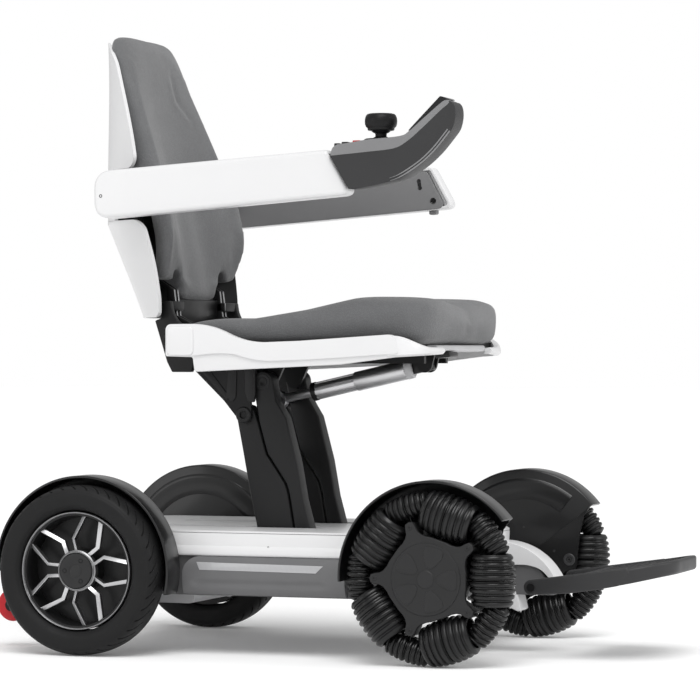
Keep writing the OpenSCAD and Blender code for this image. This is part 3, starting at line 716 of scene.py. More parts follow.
@dataclass
class Sided:
    """A sub-assembly that the chair has on one side or on both."""

    side: Side

    def named(self, word: str) -> str:
        """A name with the side added."""
        return f"{word}_{self.side.word}"

    def wheel_place(self, x: float) -> Matrix:
        """A wheel's local frame: its Y points to the outer side."""
        return at(x, WHEEL_R, self.side.value * WHEEL_Y) @ facing(self.side.value)


# Wheels

@dataclass
class RearWheel(Sided):
    """Driven rear wheel: grooved tyre, bright lip, dark barrel, machined spoke pairs and a hub cap."""

    rim_r: float = 88.0
    half_w: float = 33.0
    square: float = 0.7
    line_rs: Point2 = (117.4, 94.0)
    slits: int = 40
    slit_steps: int = 6
    slit_r: float = 121.5
    slit_in: float = 7.0
    slit_depth: float = 2.2
    slit_lean: float = 11.0
    pairs: int = 5
    spoke_back: float = 11.0
    spoke_face: float = 20.4
    spoke_drop: float = 3.0
    socket_r: float = 17.5

    @property
    def body(self) -> str:
        """Name of the wheel's body."""
        return self.named("rear_wheel")

    @property
    def place(self) -> Matrix:
        """The wheel's local frame."""
        return self.wheel_place(REAR_X)

    def tyre(self) -> None:
        """Rounded carcass with sidewall lines and slanted shoulder slits."""
        mid = (self.rim_r + WHEEL_R) / 2
        profile = []
        for i in range(81):
            t = math.radians(-62 + 304 * i / 80)
            r = max(self.rim_r + 0.2, mid + (WHEEL_R - mid) * spow(math.sin(t), self.square))
            y = self.half_w * spow(math.cos(t), self.square)
            line = 0.5 * sum(bump(r, line_r, 0.7) for line_r in self.line_rs)
            profile.append((r, y - math.copysign(line, y)))
        shape = Shape()
        steps = self.slits * self.slit_steps
        shape.lathe(profile, Matrix(), steps)
        shape.normals()
        cut = []
        for face in shape.bm.faces:
            c = face.calc_center_median()
            if math.hypot(c.x, c.z) < self.slit_r or abs(c.y) < self.slit_in:
                continue
            step = int(math.degrees(math.atan2(c.z, c.x)) % 360 / (360 / steps))
            if step % self.slit_steps == (0 if c.y > 0 else self.slit_steps // 2):
                cut.append(face)
        bmesh.ops.inset_region(shape.bm, faces=cut, thickness=0.3, depth=-self.slit_depth,
                               use_even_offset=True)
        for vertex in shape.bm.verts:
            lean = math.radians(self.slit_lean * ramp(abs(vertex.co.y), 4, self.half_w))
            vertex.co.rotate(Matrix.Rotation(math.copysign(lean, vertex.co.y), 3, "Y"))
        shape.move(self.place)
        shape.piece(self.named("tyre"), TYRE, self.body, "tyre_rubber", [self.named("rear_tyre")], 30)

    def spoke(self, sign: int) -> list[Point2]:
        """Outline of one arm of a spoke pair that points along X."""
        corners = [(0.34, 16.0), (0.54, 22.5), (0.962, 7.2), (0.962, 11.6), (0.56, 28.8), (0.34, 26.0)]
        return [(self.rim_r * r * math.cos(math.radians(a)),
                 sign * self.rim_r * r * math.sin(math.radians(a)))
                for r, a in corners]

    def outer_edge(self, spot: Vector) -> bool:
        """Whether a corner of a spoke lies on the edge that is lowered."""
        share = math.hypot(spot.x, spot.z) / self.rim_r
        turn = math.degrees(math.atan2(abs(spot.z), spot.x))
        edge = 21 if share < 0.45 else 25.6 if share < 0.8 else 9.4
        return spot.y > self.spoke_face - 0.4 and turn > edge

    def spokes(self) -> None:
        """Machined spoke pairs, faceted towards their outer edges."""
        shape = Shape()
        for i in range(self.pairs):
            for sign in (-1, 1):
                fresh = shape.prism(self.spoke(sign), self.spoke_back, self.spoke_face)
                for vertex in fresh:
                    if self.outer_edge(vertex.co):
                        vertex.co.y -= self.spoke_drop
                shape.move(about_y(360 / self.pairs * i), fresh)
        shape.bevel(0.7, 2, 30, lambda p: p.y > 16.5)
        shape.paint(lambda face: face.normal.y < 0.45)
        shape.move(self.place)
        shape.piece(self.named("spokes"), SILVER, self.body, "machined_alloy", accent=SATIN)

    def rim(self) -> None:
        """Lip, barrel with its backing, spokes, hub ring and cap."""
        lip = Shape()
        lip.lathe([(84.4, 19.0), (85.4, 23.8), (86.2, 24.6), (87.2, 24.6), (87.9, 23.8), (88.1, 19.0)],
                  self.place, 144)
        lip.piece(self.named("rim_lip"), SATIN, self.body, "machined_alloy", [self.named("rear_rim")])
        barrel = Shape()
        barrel.lathe([(88.0, 20.4), (84.6, 21.4), (82.4, 20.8), (80.2, 17.0), (79.4, 8.0), (78.6, -18.0),
                      (81.0, -24.4), (88.0, -24.4)], self.place, 120)
        barrel.lathe([(AXIS, -12.0), (79.0, -12.0), (79.0, -14.0), (AXIS, -14.0)], self.place, 72)
        barrel.lathe([(10.1, -15.9), (31.0, -15.9), (31.0, 10.6), (25.0, 11.0), (10.1, 11.0)], self.place, 72)
        barrel.piece(self.named("rim_barrel"), BLACK, self.body, "black_plastic")
        self.spokes()
        ring = Shape()
        ring.lathe([(27.0, 19.8), (27.1, 22.6), (27.5, 23.0), (28.2, 22.8), (28.6, 21.4), (30.6, 20.0),
                    (31.0, 11.0), (27.0, 11.0)], self.place)
        ring.piece(self.named("hub_ring"), SATIN, self.body, "machined_alloy")
        cap = Shape()
        cap.lathe([(AXIS, 25.4), (9.0, 25.4), (9.6, 25.0), (10.2, 25.4), (22.0, 25.6), (25.2, 24.8),
                   (26.6, 23.0), (26.6, 12.0), (AXIS, 12.0)], self.place, 72)
        cap.piece(self.named("hub_cap"), HUB, self.body, "black_plastic")
        holes = Shape()
        for a in (60, 180, 300):
            holes.lathe([(AXIS, -0.4), (2.2, -0.4), (2.6, 0.5), (3.3, 0.5), (3.7, -0.6), (AXIS, -0.8)],
                        self.place @ about_y(a) @ at(self.socket_r, 0, 25.5), 28)
        holes.piece(self.named("hub_sockets"), KNOB, self.body, "black_plastic")

    def build(self) -> None:
        """Builds the wheel."""
        self.tyre()
        self.rim()


@dataclass
class OmniWheel(Sided):
    """Front wheel: a hub with a star cap that carries five large and five small ribbed rollers."""

    count: int = 5
    fin_t: float = 1.2
    large_pin: float = 93.0
    small_pin: float = 107.0
    large_half: float = 37.5
    small_half: float = 34.0
    ribs: int = 4
    cup_r: float = 22.0
    cup_depth: float = 17.0
    taper: float = 1.1
    bolt_r: float = 77.6
    star_back: float = 16.0
    star_face: float = 22.6

    @property
    def body(self) -> str:
        """Name of the hub's body."""
        return self.named("front_hub")

    @property
    def step(self) -> float:
        """Angle from one large roller to the next."""
        return 360 / self.count

    @property
    def place(self) -> Matrix:
        """The wheel's local frame."""
        return self.wheel_place(FRONT_X)

    def turned(self, degrees: float) -> Matrix:
        """The wheel's frame turned so that local X points to an angle."""
        return self.place @ about_y(degrees)

    def core(self) -> None:
        """Drum with the fins that hold the rollers' pins and the posts under the star."""
        shape = Shape()
        shape.lathe([(10.1, -21.8), (28.5, -21.8), (30.0, -20.5), (30.0, -16.8), (53.0, -16.8), (54.0, -15.5),
                     (57.3, -11.5), (57.3, 11.5), (54.0, 16.0), (10.1, 16.0)], self.place)
        half = self.fin_t / 2
        for i in range(self.count):
            for pin, eye, shift in ((self.large_pin, 9.0, 0.0), (self.small_pin, 8.5, 0.5)):
                fin = shape.block((50, -8, -half), (pin, 8, half))
                fin += shape.rod((pin, 0, -half), (pin, 0, half), eye)
                shape.move(self.turned(self.step * (i + shift)), fin)
            post = shape.block((50, -12, -5.5), (84, self.star_back, 5.5))
            shape.move(self.turned(self.step * (i + 0.5)), post)
        shape.piece(self.named("hub_core"), HUB, self.body, "black_plastic", [self.body])

    def star(self) -> None:
        """Star cap with its raised middle, petals and bolts."""
        shape = Shape()
        rise = ((61.2, 25), (62.2, 17), (66, 10.5), (71, 7.2), (79, 5.6), (84, 4.2))
        point = [(r, -a) for r, a in rise] + [(86, 0)] + list(reversed(rise))
        outline = []
        for i in range(self.count):
            for r, a in point:
                t = math.radians(self.step * (i + 0.5) + a)
                outline.append((r * math.cos(t), r * math.sin(t)))
        shape.prism(outline, self.star_back, self.star_face)
        shape.bevel(1.6, 3, 30, lambda p: p.y > 20)
        shape.lathe([(AXIS, 25.3), (12.0, 25.3), (13.2, 24.4), (49.6, 24.4), (51.6, 23.9), (52.6, 22.6),
                     (52.6, 20.0), (AXIS, 20.0)], Matrix())
        side = [(17, -3.5), (24, -9), (36, -14.5), (45, -14), (47.5, -8)]
        petal = side + [(x, -z) for x, z in reversed(side)]
        for i in range(self.count):
            shape.move(about_y(self.step * i), shape.prism(petal, 23.6, 25.2))
        shape.bevel(0.7, 2, 40, lambda p: p.y > 25.1 and math.hypot(p.x, p.z) > 14)
        for i in range(self.count):
            screw(shape, about_y(self.step * (i + 0.5)) @ at(self.bolt_r, 0, self.star_face), 3.4)
        shape.move(self.place)
        shape.piece(self.named("star_cap"), HUB, self.body, "black_plastic", smooth=30)

    def roller_r(self, x: float, pin: float, full: float) -> float:
        """Radius of a roller at x along its pin: true to the wheel's tread up to full, tapered past it."""
        return math.sqrt(WHEEL_R ** 2 - min(x, full) ** 2) - pin - max(0.0, x - full) * self.taper

    def half_profile(self, pin: float, half: float, full: float, cup: float) -> list[Point2]:
        """Half outline of a roller from the fin's slot to its end: rounded ribs with grooves between.

        Args:
            pin: radius of the pin's circle.
            half: half-length of the roller.
            full: where the taper starts.
            cup: radius of the hollow in its end, or 0.

        Returns:
            Points of (radius, along).
        """
        start = self.fin_t / 2 + 0.3
        pitch = (half - start) / self.ribs
        rise = ((0.1, 3.0), (0.16, 2.0), (0.22, 1.0), (0.3, 0.35), (0.42, 0.05))
        marks = [(0.0, 3.0), *rise, (0.58, 0.05), (0.7, 0.35), (0.78, 1.0), (0.84, 2.0), (0.9, 3.0)]
        points = [(5.0, start)]
        for i in range(self.ribs):
            for k, drop in marks:
                if i == self.ribs - 1 and k > 0.82:
                    continue
                x = start + pitch * (i + k)
                points.append((self.roller_r(x, pin, full) - drop, x))
        end = self.roller_r(half, pin, full)
        points += [(end - 1.8, half - 0.3), (end - 3.0, half)]
        hollow = [(cup, half), (cup, half - self.cup_depth), (AXIS, half - self.cup_depth)]
        return points + (hollow if cup else [(AXIS, half)])

    def rollers(self) -> None:
        """All ten rollers."""
        sizes = (("large", self.large_pin, self.large_half, self.large_half, self.cup_r, 0.0),
                 ("small", self.small_pin, self.small_half, self.small_half - 4, 0.0, 0.5))
        lying = Matrix.Rotation(math.radians(90), 4, "X")
        for word, pin, half, full, cup, shift in sizes:
            right = self.half_profile(pin, half, full, cup)
            profile = [(r, -x) for r, x in reversed(right)] + right
            for i in range(self.count):
                name = f"{self.named(word + '_roller')}_{i + 1}"
                shape = Shape()
                shape.lathe(profile, self.turned(self.step * (i + shift)) @ at(pin, 0) @ lying, 56, False)
                shape.piece(f"{name}_ribs", ROLLER, name, "roller_rubber", [name], 30)

    def build(self) -> None:
        """Builds the wheel."""
        self.core()
        self.star()
        self.rollers()


# Base

@dataclass
class Base:
    """Deck, nose, side covers with their lights, fenders."""

    half: float = 196.0
    rear: float = -330.0
    rear_r: float = 30.0
    shoulder_x: float = 224.0
    shoulder_r: float = 20.0
    nose_x: float = 308.0
    nose_half: float = 24.0
    nose_c: Point2 = (304.0, 68.0)
    nose_r: float = 100.0
    top_z: float = 186.0
    lid_z: float = 183.1
    split_z: float = 148.3
    tray_z: float = 89.0
    slot_x: Point2 = (-240.0, 48.0)
    slot_y: Point2 = (54.0, 89.0)
    cover_x: float = 108.0
    cover_rear_r: float = 26.0
    cover_front_r: float = 16.0
    crown: float = 12.6
    fender_r: float = 137.0
    fender_t: float = 4.0
    fender_in: float = 214.0
    fender_out: float = 262.0

    def plan(self, d: float) -> list[Point2]:
        """Plan outline of the deck, inset by d."""
        h, n, c, s = self.half - d, self.nose_half - d, self.rear_r, self.shoulder_r
        rear, shoulder, nose = self.rear + d + c, self.shoulder_x - d, self.nose_x - d
        return (arc((rear, -h + c), c, 180, 270, 10) + arc((shoulder, -h + s), s, 270, 330, 6)
                + [(nose, -n), (nose, n)] + arc((shoulder, h - s), s, 30, 90, 6)
                + arc((rear, h - c), c, 90, 180, 10))

    def deck(self) -> None:
        """Side band with a crease, and the lid set on a thin seam."""
        band = Shape()
        levels = ((1.4, 148.3), (0.3, 149.4), (0.0, 152.0), (0.0, 161.6), (0.9, 162.8), (1.0, 163.8),
                  (0.3, 181.0), (0.6, 182.2), (2.4, 182.6), (4.0, 182.6), (4.0, 149.0), (2.4, 148.3))
        rings = [[(x, y, z) for x, y in self.plan(d)] for d, z in levels]
        band.loft(rings + rings[:1], capped=False)
        band.piece("deck_band", WHITE, "chassis", "white_gloss", ["deck_cover"], 50)
        lid = Shape()
        (x0, x1), (y0, y1) = self.slot_x, self.slot_y
        slots = [[(x0, s * y0), (x1, s * y0), (x1, s * y1), (x0, s * y1)] for s in (-1, 1)]
        lid.plate(self.plan(0.5), slots, self.lid_z, self.top_z)
        lid.bevel(1.1, 3, 40, lambda p: p.z > self.top_z - 1)
        lid.piece("deck_lid", WHITE, "chassis", "white_gloss")

    def nose(self) -> None:
        """Arch in front of the deck with the chin below it."""
        shape = Shape()
        under = flow([(390.5, 105), (386, 112), (371, 126.5), (355, 132.5), (338, 134), (306, 132)], 5)
        shape.prism(arc(self.nose_c, self.nose_r, 89, 20, 40) + under, -self.nose_half, self.nose_half)
        cx, cz = self.nose_c
        shape.bevel(7.0, 6, 50, lambda p: math.hypot(p.x - cx, p.z - cz) > self.nose_r - 3)
        shape.bevel(2.0, 3, 60, lambda p: abs(p.y) > self.nose_half - 0.1)
        shape.prism([(318, 102), (330, 102), (338.5, 66), (334, 63), (318, 70)], -20.0, 20.0)
        shape.bevel(1.6, 3, 50, lambda p: p.z < 103 and p.x < 340)
        shape.piece("nose_arch", WHITE, "chassis", "white_gloss", smooth=30)

    def seam(self) -> None:
        """Dark gasket under the lid and small screws in the band."""
        gasket = Shape()
        gasket.plate(self.plan(2.6), [self.plan(9.0)], self.lid_z - 0.6, self.lid_z + 0.2)
        gasket.piece("deck_gasket", BLACK, "chassis", "black_rubber")
        dots = Shape()
        for s in (-1, 1):
            for z in (155.0, 163.0):
                screw(dots, at(0, z, s * (self.half - 0.7)) @ facing(s), 1.5)
        dots.piece("deck_screws", SATIN, "chassis", "bright_steel")

    def cover_top(self, x: float) -> float:
        """Upper edge of a side cover, with rounded corners."""
        top = self.split_z - 0.3
        r = self.cover_rear_r if x < 0 else self.cover_front_r
        past = abs(x) - self.cover_x
        return top - r + math.sqrt(max(0.0, r ** 2 - past ** 2)) if past > 0 else top

    def cover_y(self, x: float, z: float) -> float:
        """Outer face of a side cover: convex, with a long soft hollow near its foot."""
        crown = math.sqrt(max(0.0, 1 - ((z - 118.5) / 29.6) ** 2))
        hollow = ramp(x, -122, -108) * (1 - ramp(x, 82, 96))
        return self.half - 2.7 + self.crown * crown - 2.4 * hollow * bump(z, 108.0, 4.5)

    def covers(self) -> None:
        """Convex side covers and the light strips let into them."""
        y0 = self.half - 5.7
        shape = Shape()
        end = self.cover_x
        stations = [-end - self.cover_rear_r + self.cover_rear_r * (1 - math.cos(math.radians(a)))
                    for a in range(0, 91, 9)]
        stations += [-100, -60, -20, 20, 60, 82, 89, 96, 102]
        stations += [end + self.cover_front_r * math.sin(math.radians(a)) for a in range(0, 91, 10)]
        rings = []
        for x in stations:
            low, top = self.tray_z + 2.0, self.cover_top(x)
            heights = [low + (top - low) * k / 32 for k in range(33)]
            rings.append([(x, y0, low)] + [(x, self.cover_y(x, z), z) for z in heights] + [(x, y0, top)])
        shape.loft(rings)
        shape.bevel(1.4, 3, 45, lambda p: p.y > y0 + 2)
        shape.mirrored().piece("side_cover_skins", GREY, "chassis", "grey_plastic", ["side_covers"], 32)
        lens = Shape()
        ends = []
        for (low_x, low_z), (high_x, high_z) in (((-106, 127.6), (-112, 139.2)), ((79, 126.2), (90, 137.0))):
            spots = [(low_x + (high_x - low_x) * k / 8, low_z + (high_z - low_z) * k / 8) for k in range(9)]
            ends.append([(x, self.cover_y(x, z) + 0.7, z) for x, z in spots]
                        + [(x, y0 + 4, z) for x, z in reversed(spots)])
        lens.loft(ends)
        lens.bevel(0.5, 2, 50, lambda p: p.y > y0 + 5)
        lens.mirrored().piece("light_strips", LIGHT, "chassis", "lens", ["side_lights"])

    def fender(self, word: str, x: float, turn: Point2, foot: list[Point2], posts: Point2,
               bolts: list[Point3], rib: Point2) -> None:
        """A fender pair: rolled band, inner wall with an embossed arc, posts to the deck, bolts.

        Args:
            word: which pair.
            x: middle of the wheel.
            turn: angles between which the band runs.
            foot: outline of the wall below the wheel's middle, from that middle.
            posts: places of the posts along X, from the middle.
            bolts: x, z and radius of each bolt.
            rib: angles between which the embossed arc runs.
        """
        shape = Shape()
        place = at(x, WHEEL_R)
        r0, r1, y0, y1 = self.fender_r, self.fender_r + self.fender_t, self.fender_in, self.fender_out
        shape.lathe([(r0 + 0.8, y1), (r1 - 1.4, y1), (r1 - 0.4, y1 - 0.6), (r1, y1 - 2.0), (r1, y0 + 2.5),
                     (r1 - 0.8, y0 + 0.8), (r1 - 2.5, y0), (20.0, y0), (20.0, y0 + 3.4), (r0 - 5.0, y0 + 3.4),
                     (r0 - 1.4, y0 + 4.6), (r0, y0 + 8.0), (r0, y1 - 0.8)], place, 96, True,
                    turn[1] - turn[0], turn[0])
        shape.prism([(x + px, WHEEL_R + pz) for px, pz in foot], y0 + 0.5, y0 + 3.2)
        shape.lathe([(92.0, y0 + 0.5), (97.0, y0 - 1.4), (104.0, y0 - 2.0), (120.0, y0 - 2.0),
                     (125.0, y0 - 1.2), (127.0, y0 + 0.5)], place, 64, True, rib[1] - rib[0], rib[0])
        for px in posts:
            z = WHEEL_R + 39
            shape.rod((x + px, self.half + 0.3, z), (x + px, y0 + 1, z), 9.0)
        shape.mirrored().piece(f"{word}_fender_skins", FENDER, "chassis", "black_plastic",
                               [f"{word}_fenders"], 40)
        heads = Shape()
        for bx, bz, br in bolts:
            for s in (-1, 1):
                spot = at(bx, bz, s * (y0 + 0.3)) @ facing(-s)
                if br > 3:
                    heads.lathe([(0.7 * br, -1.0), (0.78 * br, 1.2), (1.4 * br, 1.3), (1.6 * br, 0.2),
                                 (1.6 * br, -1.0)], spot, 40)
                    screw(heads, spot, 0.62 * br)
                else:
                    heads.lathe([(AXIS, 0.35), (0.8 * br, 0.35), (br, -0.5), (AXIS, -0.5)], spot, 28)
        heads.piece(f"{word}_fender_bolts", DARK, "chassis", "black_plastic")

    def build(self) -> None:
        """Builds the base."""
        self.deck()
        self.nose()
        self.seam()
        self.covers()
        rear = [(-120, 2), (-60, -12), (40, -34), (120, -31), (120, 10), (-120, 10)]
        self.fender("rear", REAR_X, (-14, 182), rear, (-40, 60), [(REAR_X + 104, WHEEL_R + 4, 3.4)],
                    (30, 150))
        front = [(-118, 8), (-90, -19), (70, -19), *arc((73, -7), 12, -90, -8, 8), (90, 38), (97, 70),
                 (106, 82)]
        self.fender("front", FRONT_X, (38, 183), front, (-90, -50),
                    [(347, 127, 6.0), (322.5, 140, 2.2), (273, 176.7, 2.2)], (52, 150))


# Lift

@dataclass
class Lift:
    """Nested lift links and the actuator."""

    y0: float = 58.0
    y1: float = 85.0
    up_front: Point2 = (-52.0, 407.0)
    up_rear: Point2 = (-80.0, 357.0)
    low_front: Point2 = (18.167, 167.049)
    low_rear: Point2 = (-9.833, 117.049)
    lean: float = 16.3
    bar_drop: float = 70.0
    seam_gap: Point2 = (2.2, 1.1)
    ram_front: Point2 = (184.0, 433.0)
    crank: Point2 = (-58.4, 377.7)
    tube_end: float = 66.0

    def link(self, name: str, node: str, outline: list[Point2], pivots: list[Point2], bar: Point2,
             bar_r: float) -> None:
        """A pair of links: rounded bars with bosses, dark pin sockets and a cross bar.

        Args:
            name: the piece's name.
            node: the CAD node and body.
            outline: side outline of a bar.
            pivots: where its pins sit.
            bar: where the cross bar sits.
            bar_r: radius of the cross bar.
        """
        y1 = self.y1
        shape = Shape()
        shape.prism(outline, self.y0, y1)
        shape.bevel(5.0, 5, 32)
        pins = Shape()
        for x, z in pivots:
            shape.lathe([(7.6, y1 - 1), (7.6, y1 + 0.5), (11.6, y1 + 0.6), (12.4, y1 - 0.2), (12.4, y1 - 1)],
                        at(x, z), 40)
            pins.lathe([(AXIS, y1 + 0.1), (3.4, y1 + 0.1), (3.8, y1 + 0.35), (7.0, y1 + 0.35),
                        (7.4, y1 - 0.6), (AXIS, y1 - 0.6)], at(x, z), 32)
        shape.mirrored()
        shape.rod((bar[0], -self.y0 - 1, bar[1]), (bar[0], self.y0 + 1, bar[1]), bar_r)
        shape.piece(name, LINK, node, "black_alloy", [node], 30)
        pins.mirrored().piece(f"{name}_pins", COATED, node, "black_steel")

    def links(self) -> None:
        """Rear and front links with the seam between them."""
        seam = flow([(-60, 346), (-47, 300), (-42, 291), (-19, 257), (-14, 247), (-10, 232), (-3, 190)],
                    4)[::-1]
        lean = math.radians(self.lean)
        rear = (arc(self.up_rear, 15, 20, 200, 16) + [(-84, 300), (-74, 246), (-60, 180)]
                + arc(self.low_rear, 20, 190, 360, 16) + seam)
        bar = (self.up_rear[0] + self.bar_drop * math.sin(lean),
               self.up_rear[1] - self.bar_drop * math.cos(lean))
        self.link("rear_link_bars", "rear_links", rear, [self.up_rear, self.low_rear], bar, 9.0)
        front = (arc(self.up_front, 16.5, 190, 0, 18)
                 + [(-30, 378), (-14, 352), (4, 284), (14, 228), (26, 184)]
                 + arc(self.low_front, 14, 20, -180, 18)
                 + [(x + self.seam_gap[0], z + self.seam_gap[1]) for x, z in seam])
        self.link("front_link_bars", "front_links", front, [self.up_front, self.low_front], self.crank, 6.0)

    def actuator(self) -> None:
        """Smooth front tube, grooved rear tube, end caps and the fork at its front."""
        a = Vector((self.ram_front[0], 0, self.ram_front[1]))
        axis = Vector((self.crank[0], 0, self.crank[1])) - a
        end = axis.length - self.tube_end
        place = Matrix.Translation(a) @ axis.normalized().to_track_quat("Y", "Z").to_matrix().to_4x4()
        tube = Shape()
        tube.lathe([(AXIS, 34.0), (14.2, 34.0), (15.0, 35.0), (15.0, 116.0), (14.4, 117.2), (AXIS, 117.2)],
                   place, 64)
        ring = []
        for k in range(96):
            t = math.radians(360 * k / 96)
            r = 13.6 if k % 12 < 8 else 12.2
            ring.append((r * math.cos(t), r * math.sin(t)))
        tube.move(place, tube.prism(ring, 117.0, end))
        tube.piece("actuator_barrel", SILVER, "seat", "machined_alloy", ["actuator_tube"])
        ends = Shape()
        ends.lathe([(7.1, end - 0.2), (13.8, end - 0.2), (14.4, end + 0.6), (14.4, end + 7.0),
                    (13.4, end + 8.0), (7.1, end + 8.0)], place, 48)
        ends.move(place, ends.block((-8, -9.5, -9.5), (8, 24, 9.5)))
        ends.bevel(1.6, 3, 50)
        ends.piece("actuator_ends", BLACK, "seat", "black_plastic", smooth=30)
        cap = Shape()
        cap.lathe([(AXIS, 22.0), (12.4, 22.0), (15.2, 24.0), (15.4, 33.0), (14.6, 34.2), (AXIS, 34.2)],
                  place, 56)
        cap.piece("actuator_cap", PALE, "seat", "light_grey", smooth=30)

    def gussets(self) -> None:
        """Ribs and bosses on the seat's hanger plates."""
        shape = Shape()
        y0 = self.y1 + 7.0
        ribs = (([(-78, 456, 2), (-78, 392, 4), (-72, 376, 3), (-63, 376, 3), (-61, 390, 4), (-61, 456, 2)],
                 5.6, 1.4),
                ([(-104, 446, 2), (-108, 384, 3), (-98, 376, 3), (-92, 384, 3), (-90, 446, 2)], 1.0, 2.0),
                ([(-156, 438, 2), (-156, 430, 2), (-106, 378, 3), (-104, 386, 3), (-146, 438, 2)], 1.0, 1.4))
        for corners, deep, proud in ribs:
            shape.prism(rounded(corners, 4), y0 - deep, y0 + proud)
        shape.bevel(1.2, 3, 40)
        shape.lathe([(5.2, y0 - 0.6), (5.4, y0 + 2.2), (6.2, y0 + 3.0), (10.8, y0 + 3.0), (12.0, y0 + 1.8),
                     (12.2, y0 - 0.6)], at(*self.up_rear), 40)
        shape.mirrored().piece("gusset_ribs", LINK, "seat", "black_steel", smooth=30)

    def build(self) -> None:
        """Builds the lift."""
        self.links()
        self.gussets()
        self.actuator()


# Seat and back

@dataclass
class Seat:
    """Seat cushion and the white trim round it."""

    pan_z: float = 467.0
    rear: float = -150.0
    front: float = 251.0
    half: float = 197.0
    thick: float = 34.0
    square: float = 0.25
    notch_y: Point2 = (78.0, 156.0)
    trim_in: float = 212.0
    trim_out: float = 224.0
    plump: Plump = Plump(0.005, 0.0035, 2.5, 4)

    def rise(self, x: float, y: float) -> float:
        """Height of the cushion's upper face above its rear level."""
        return (30 * ramp(x, -30, 150) - 7 * ramp(x, 70, 170) * bump(y, 0, 62)
                - 4 * ramp(x, -120, 0) * (1 - ramp(x, 0, 120)) * bump(y, 0, 110))

    def ring(self, s: float, k: float) -> list[Point3]:
        """A superellipse of the cushion shrunk by s at level k."""
        cx, hx, hy = (self.rear + self.front) / 2, (self.front - self.rear) / 2 * s, self.half * s
        points = []
        for i in range(144):
            t = math.radians(2.5 * i)
            x, y = cx + hx * spow(math.cos(t), self.square), hy * spow(math.sin(t), self.square)
            points.append((x, y, self.pan_z + 0.3 + k * (self.thick - 2 + self.rise(x, y))))
        return points

    def cushion(self) -> None:
        """Crowned cushion with two thigh crests and notches for the hinge arms."""
        shape = Shape()
        levels = [(0.955, 0.0), (0.972, 0.03), (0.983, 0.08), (0.99, 0.18), (0.995, 0.32), (0.998, 0.46),
                  (0.999, 0.58), (0.998, 0.7), (0.994, 0.79), (0.984, 0.87), (0.966, 0.93), (0.94, 0.965),
                  (0.9, 0.99), (0.84, 1.01), (0.76, 1.025), (0.66, 1.035), (0.55, 1.045), (0.43, 1.05),
                  (0.3, 1.055), (0.17, 1.06), (0.05, 1.06)]
        shape.loft([self.ring(s, k) for s, k in levels])
        made = shape.piece("seat_pad", FABRIC, "seat", "grey_fabric", ["seat_cushion"], 60)
        cutter = Shape()
        for s in (-1, 1):
            near, far = sorted(s * y for y in self.notch_y)
            cutter.block((-180, near, 460), (-100, far, 560))
        cutter.bevel(8.0, 4, 40)
        carve(made, cutter)
        self.plump.run(made)

    def corner(self, shape: Shape) -> None:
        """A front corner of the trim: a bar that sinks as it wraps round below the cushion."""
        path = flow([(196, 218), (212, 217), (223, 211), (232, 200), (239, 184), (243, 162), (245, 138),
                     (245, 116)], 4)
        rings = []
        for i, (x, y) in enumerate(path):
            share = i / (len(path) - 1)
            ahead, back = path[min(i + 1, len(path) - 1)], path[max(i - 1, 0)]
            out = Vector((back[1] - ahead[1], ahead[0] - back[0])).normalized()
            top, low = 476.5 - 17 * ramp(share, 0.05, 0.75), 444.5 + 5 * share
            section = ((5, low + 3), (5.6, (low + top) / 2), (4, top - 2), (1, top), (-6, top - 1), (-6, low),
                       (2, low))
            rings.append([(x + out.x * d, y + out.y * d, z) for d, z in section])
        shape.loft(rings)

    def trim(self) -> None:
        """Side trims with a creased lower band, hinge covers and front corners."""
        y0, y1 = self.trim_in, self.trim_out
        crest = [(-153, 494, 10), (-84, 494.6, 130), (-24, 466, 170), (60, 469, 60), (206, 478.6, 12)]
        foot = [(214, 446, 3), (120, 434, 60), (-108, 423, 6), (-111, 445, 4)]
        shape = Shape()
        shape.prism(rounded([(-153, 446, 5), *crest, *foot], 10), y0, y1 - 3.4)
        shape.bevel(1.4, 3, 24, lambda p: p.y > y1 - 4)
        crease = flow([(212, 450.6), (107, 443.6), (50, 440.8), (5, 439.8), (-22, 443.6), (-45, 449.6),
                       (-75, 450.4), (-110, 447.2)], 5)
        upper = rounded([(-153, 446, 4), *crest, (213, 451, 2)], 10)
        shape.prism(upper + crease, y1 - 4.5, y1 - 0.2)
        shape.bevel(3.6, 6, 24, lambda p: p.y > y1 - 1)
        cover = rounded([(-151, 447, 9), (-108, 447, 9), (-108, 491, 9), (-151, 491, 9)], 6)
        shape.prism(cover, y1 - 1.4, y1 + 2.2)
        shape.bevel(2.0, 4, 40, lambda p: p.y > y1 + 2.0)
        shape.block((-80, 190.3, 447), (130, y0 + 1, 453))
        self.corner(shape)
        shape.mirrored().piece("seat_trim_skins", WHITE, "seat", "white_gloss", ["seat_trim"], 34)

    def front_bar(self) -> None:
        """Bar between the front corners and the latch below it."""
        bar = rounded([(222, 452, 2), (222, 463, 2), (238, 463, 4), (241, 454, 3)], 5)
        slab("seat_front_bar", bar, (-118.0, 118.0), 1.2, PALE, "seat", "grey_plastic")
        latch = rounded([(222, 443, 3), (222, 453, 2), (244, 453, 3), (246, 445, 3)], 5)
        slab("seat_latch", latch, (-78.0, -36.0), 1.4, BLACK, "seat", "black_plastic")

    def build(self) -> None:
        """Builds the seat."""
        self.cushion()
        self.trim()
        self.front_bar()


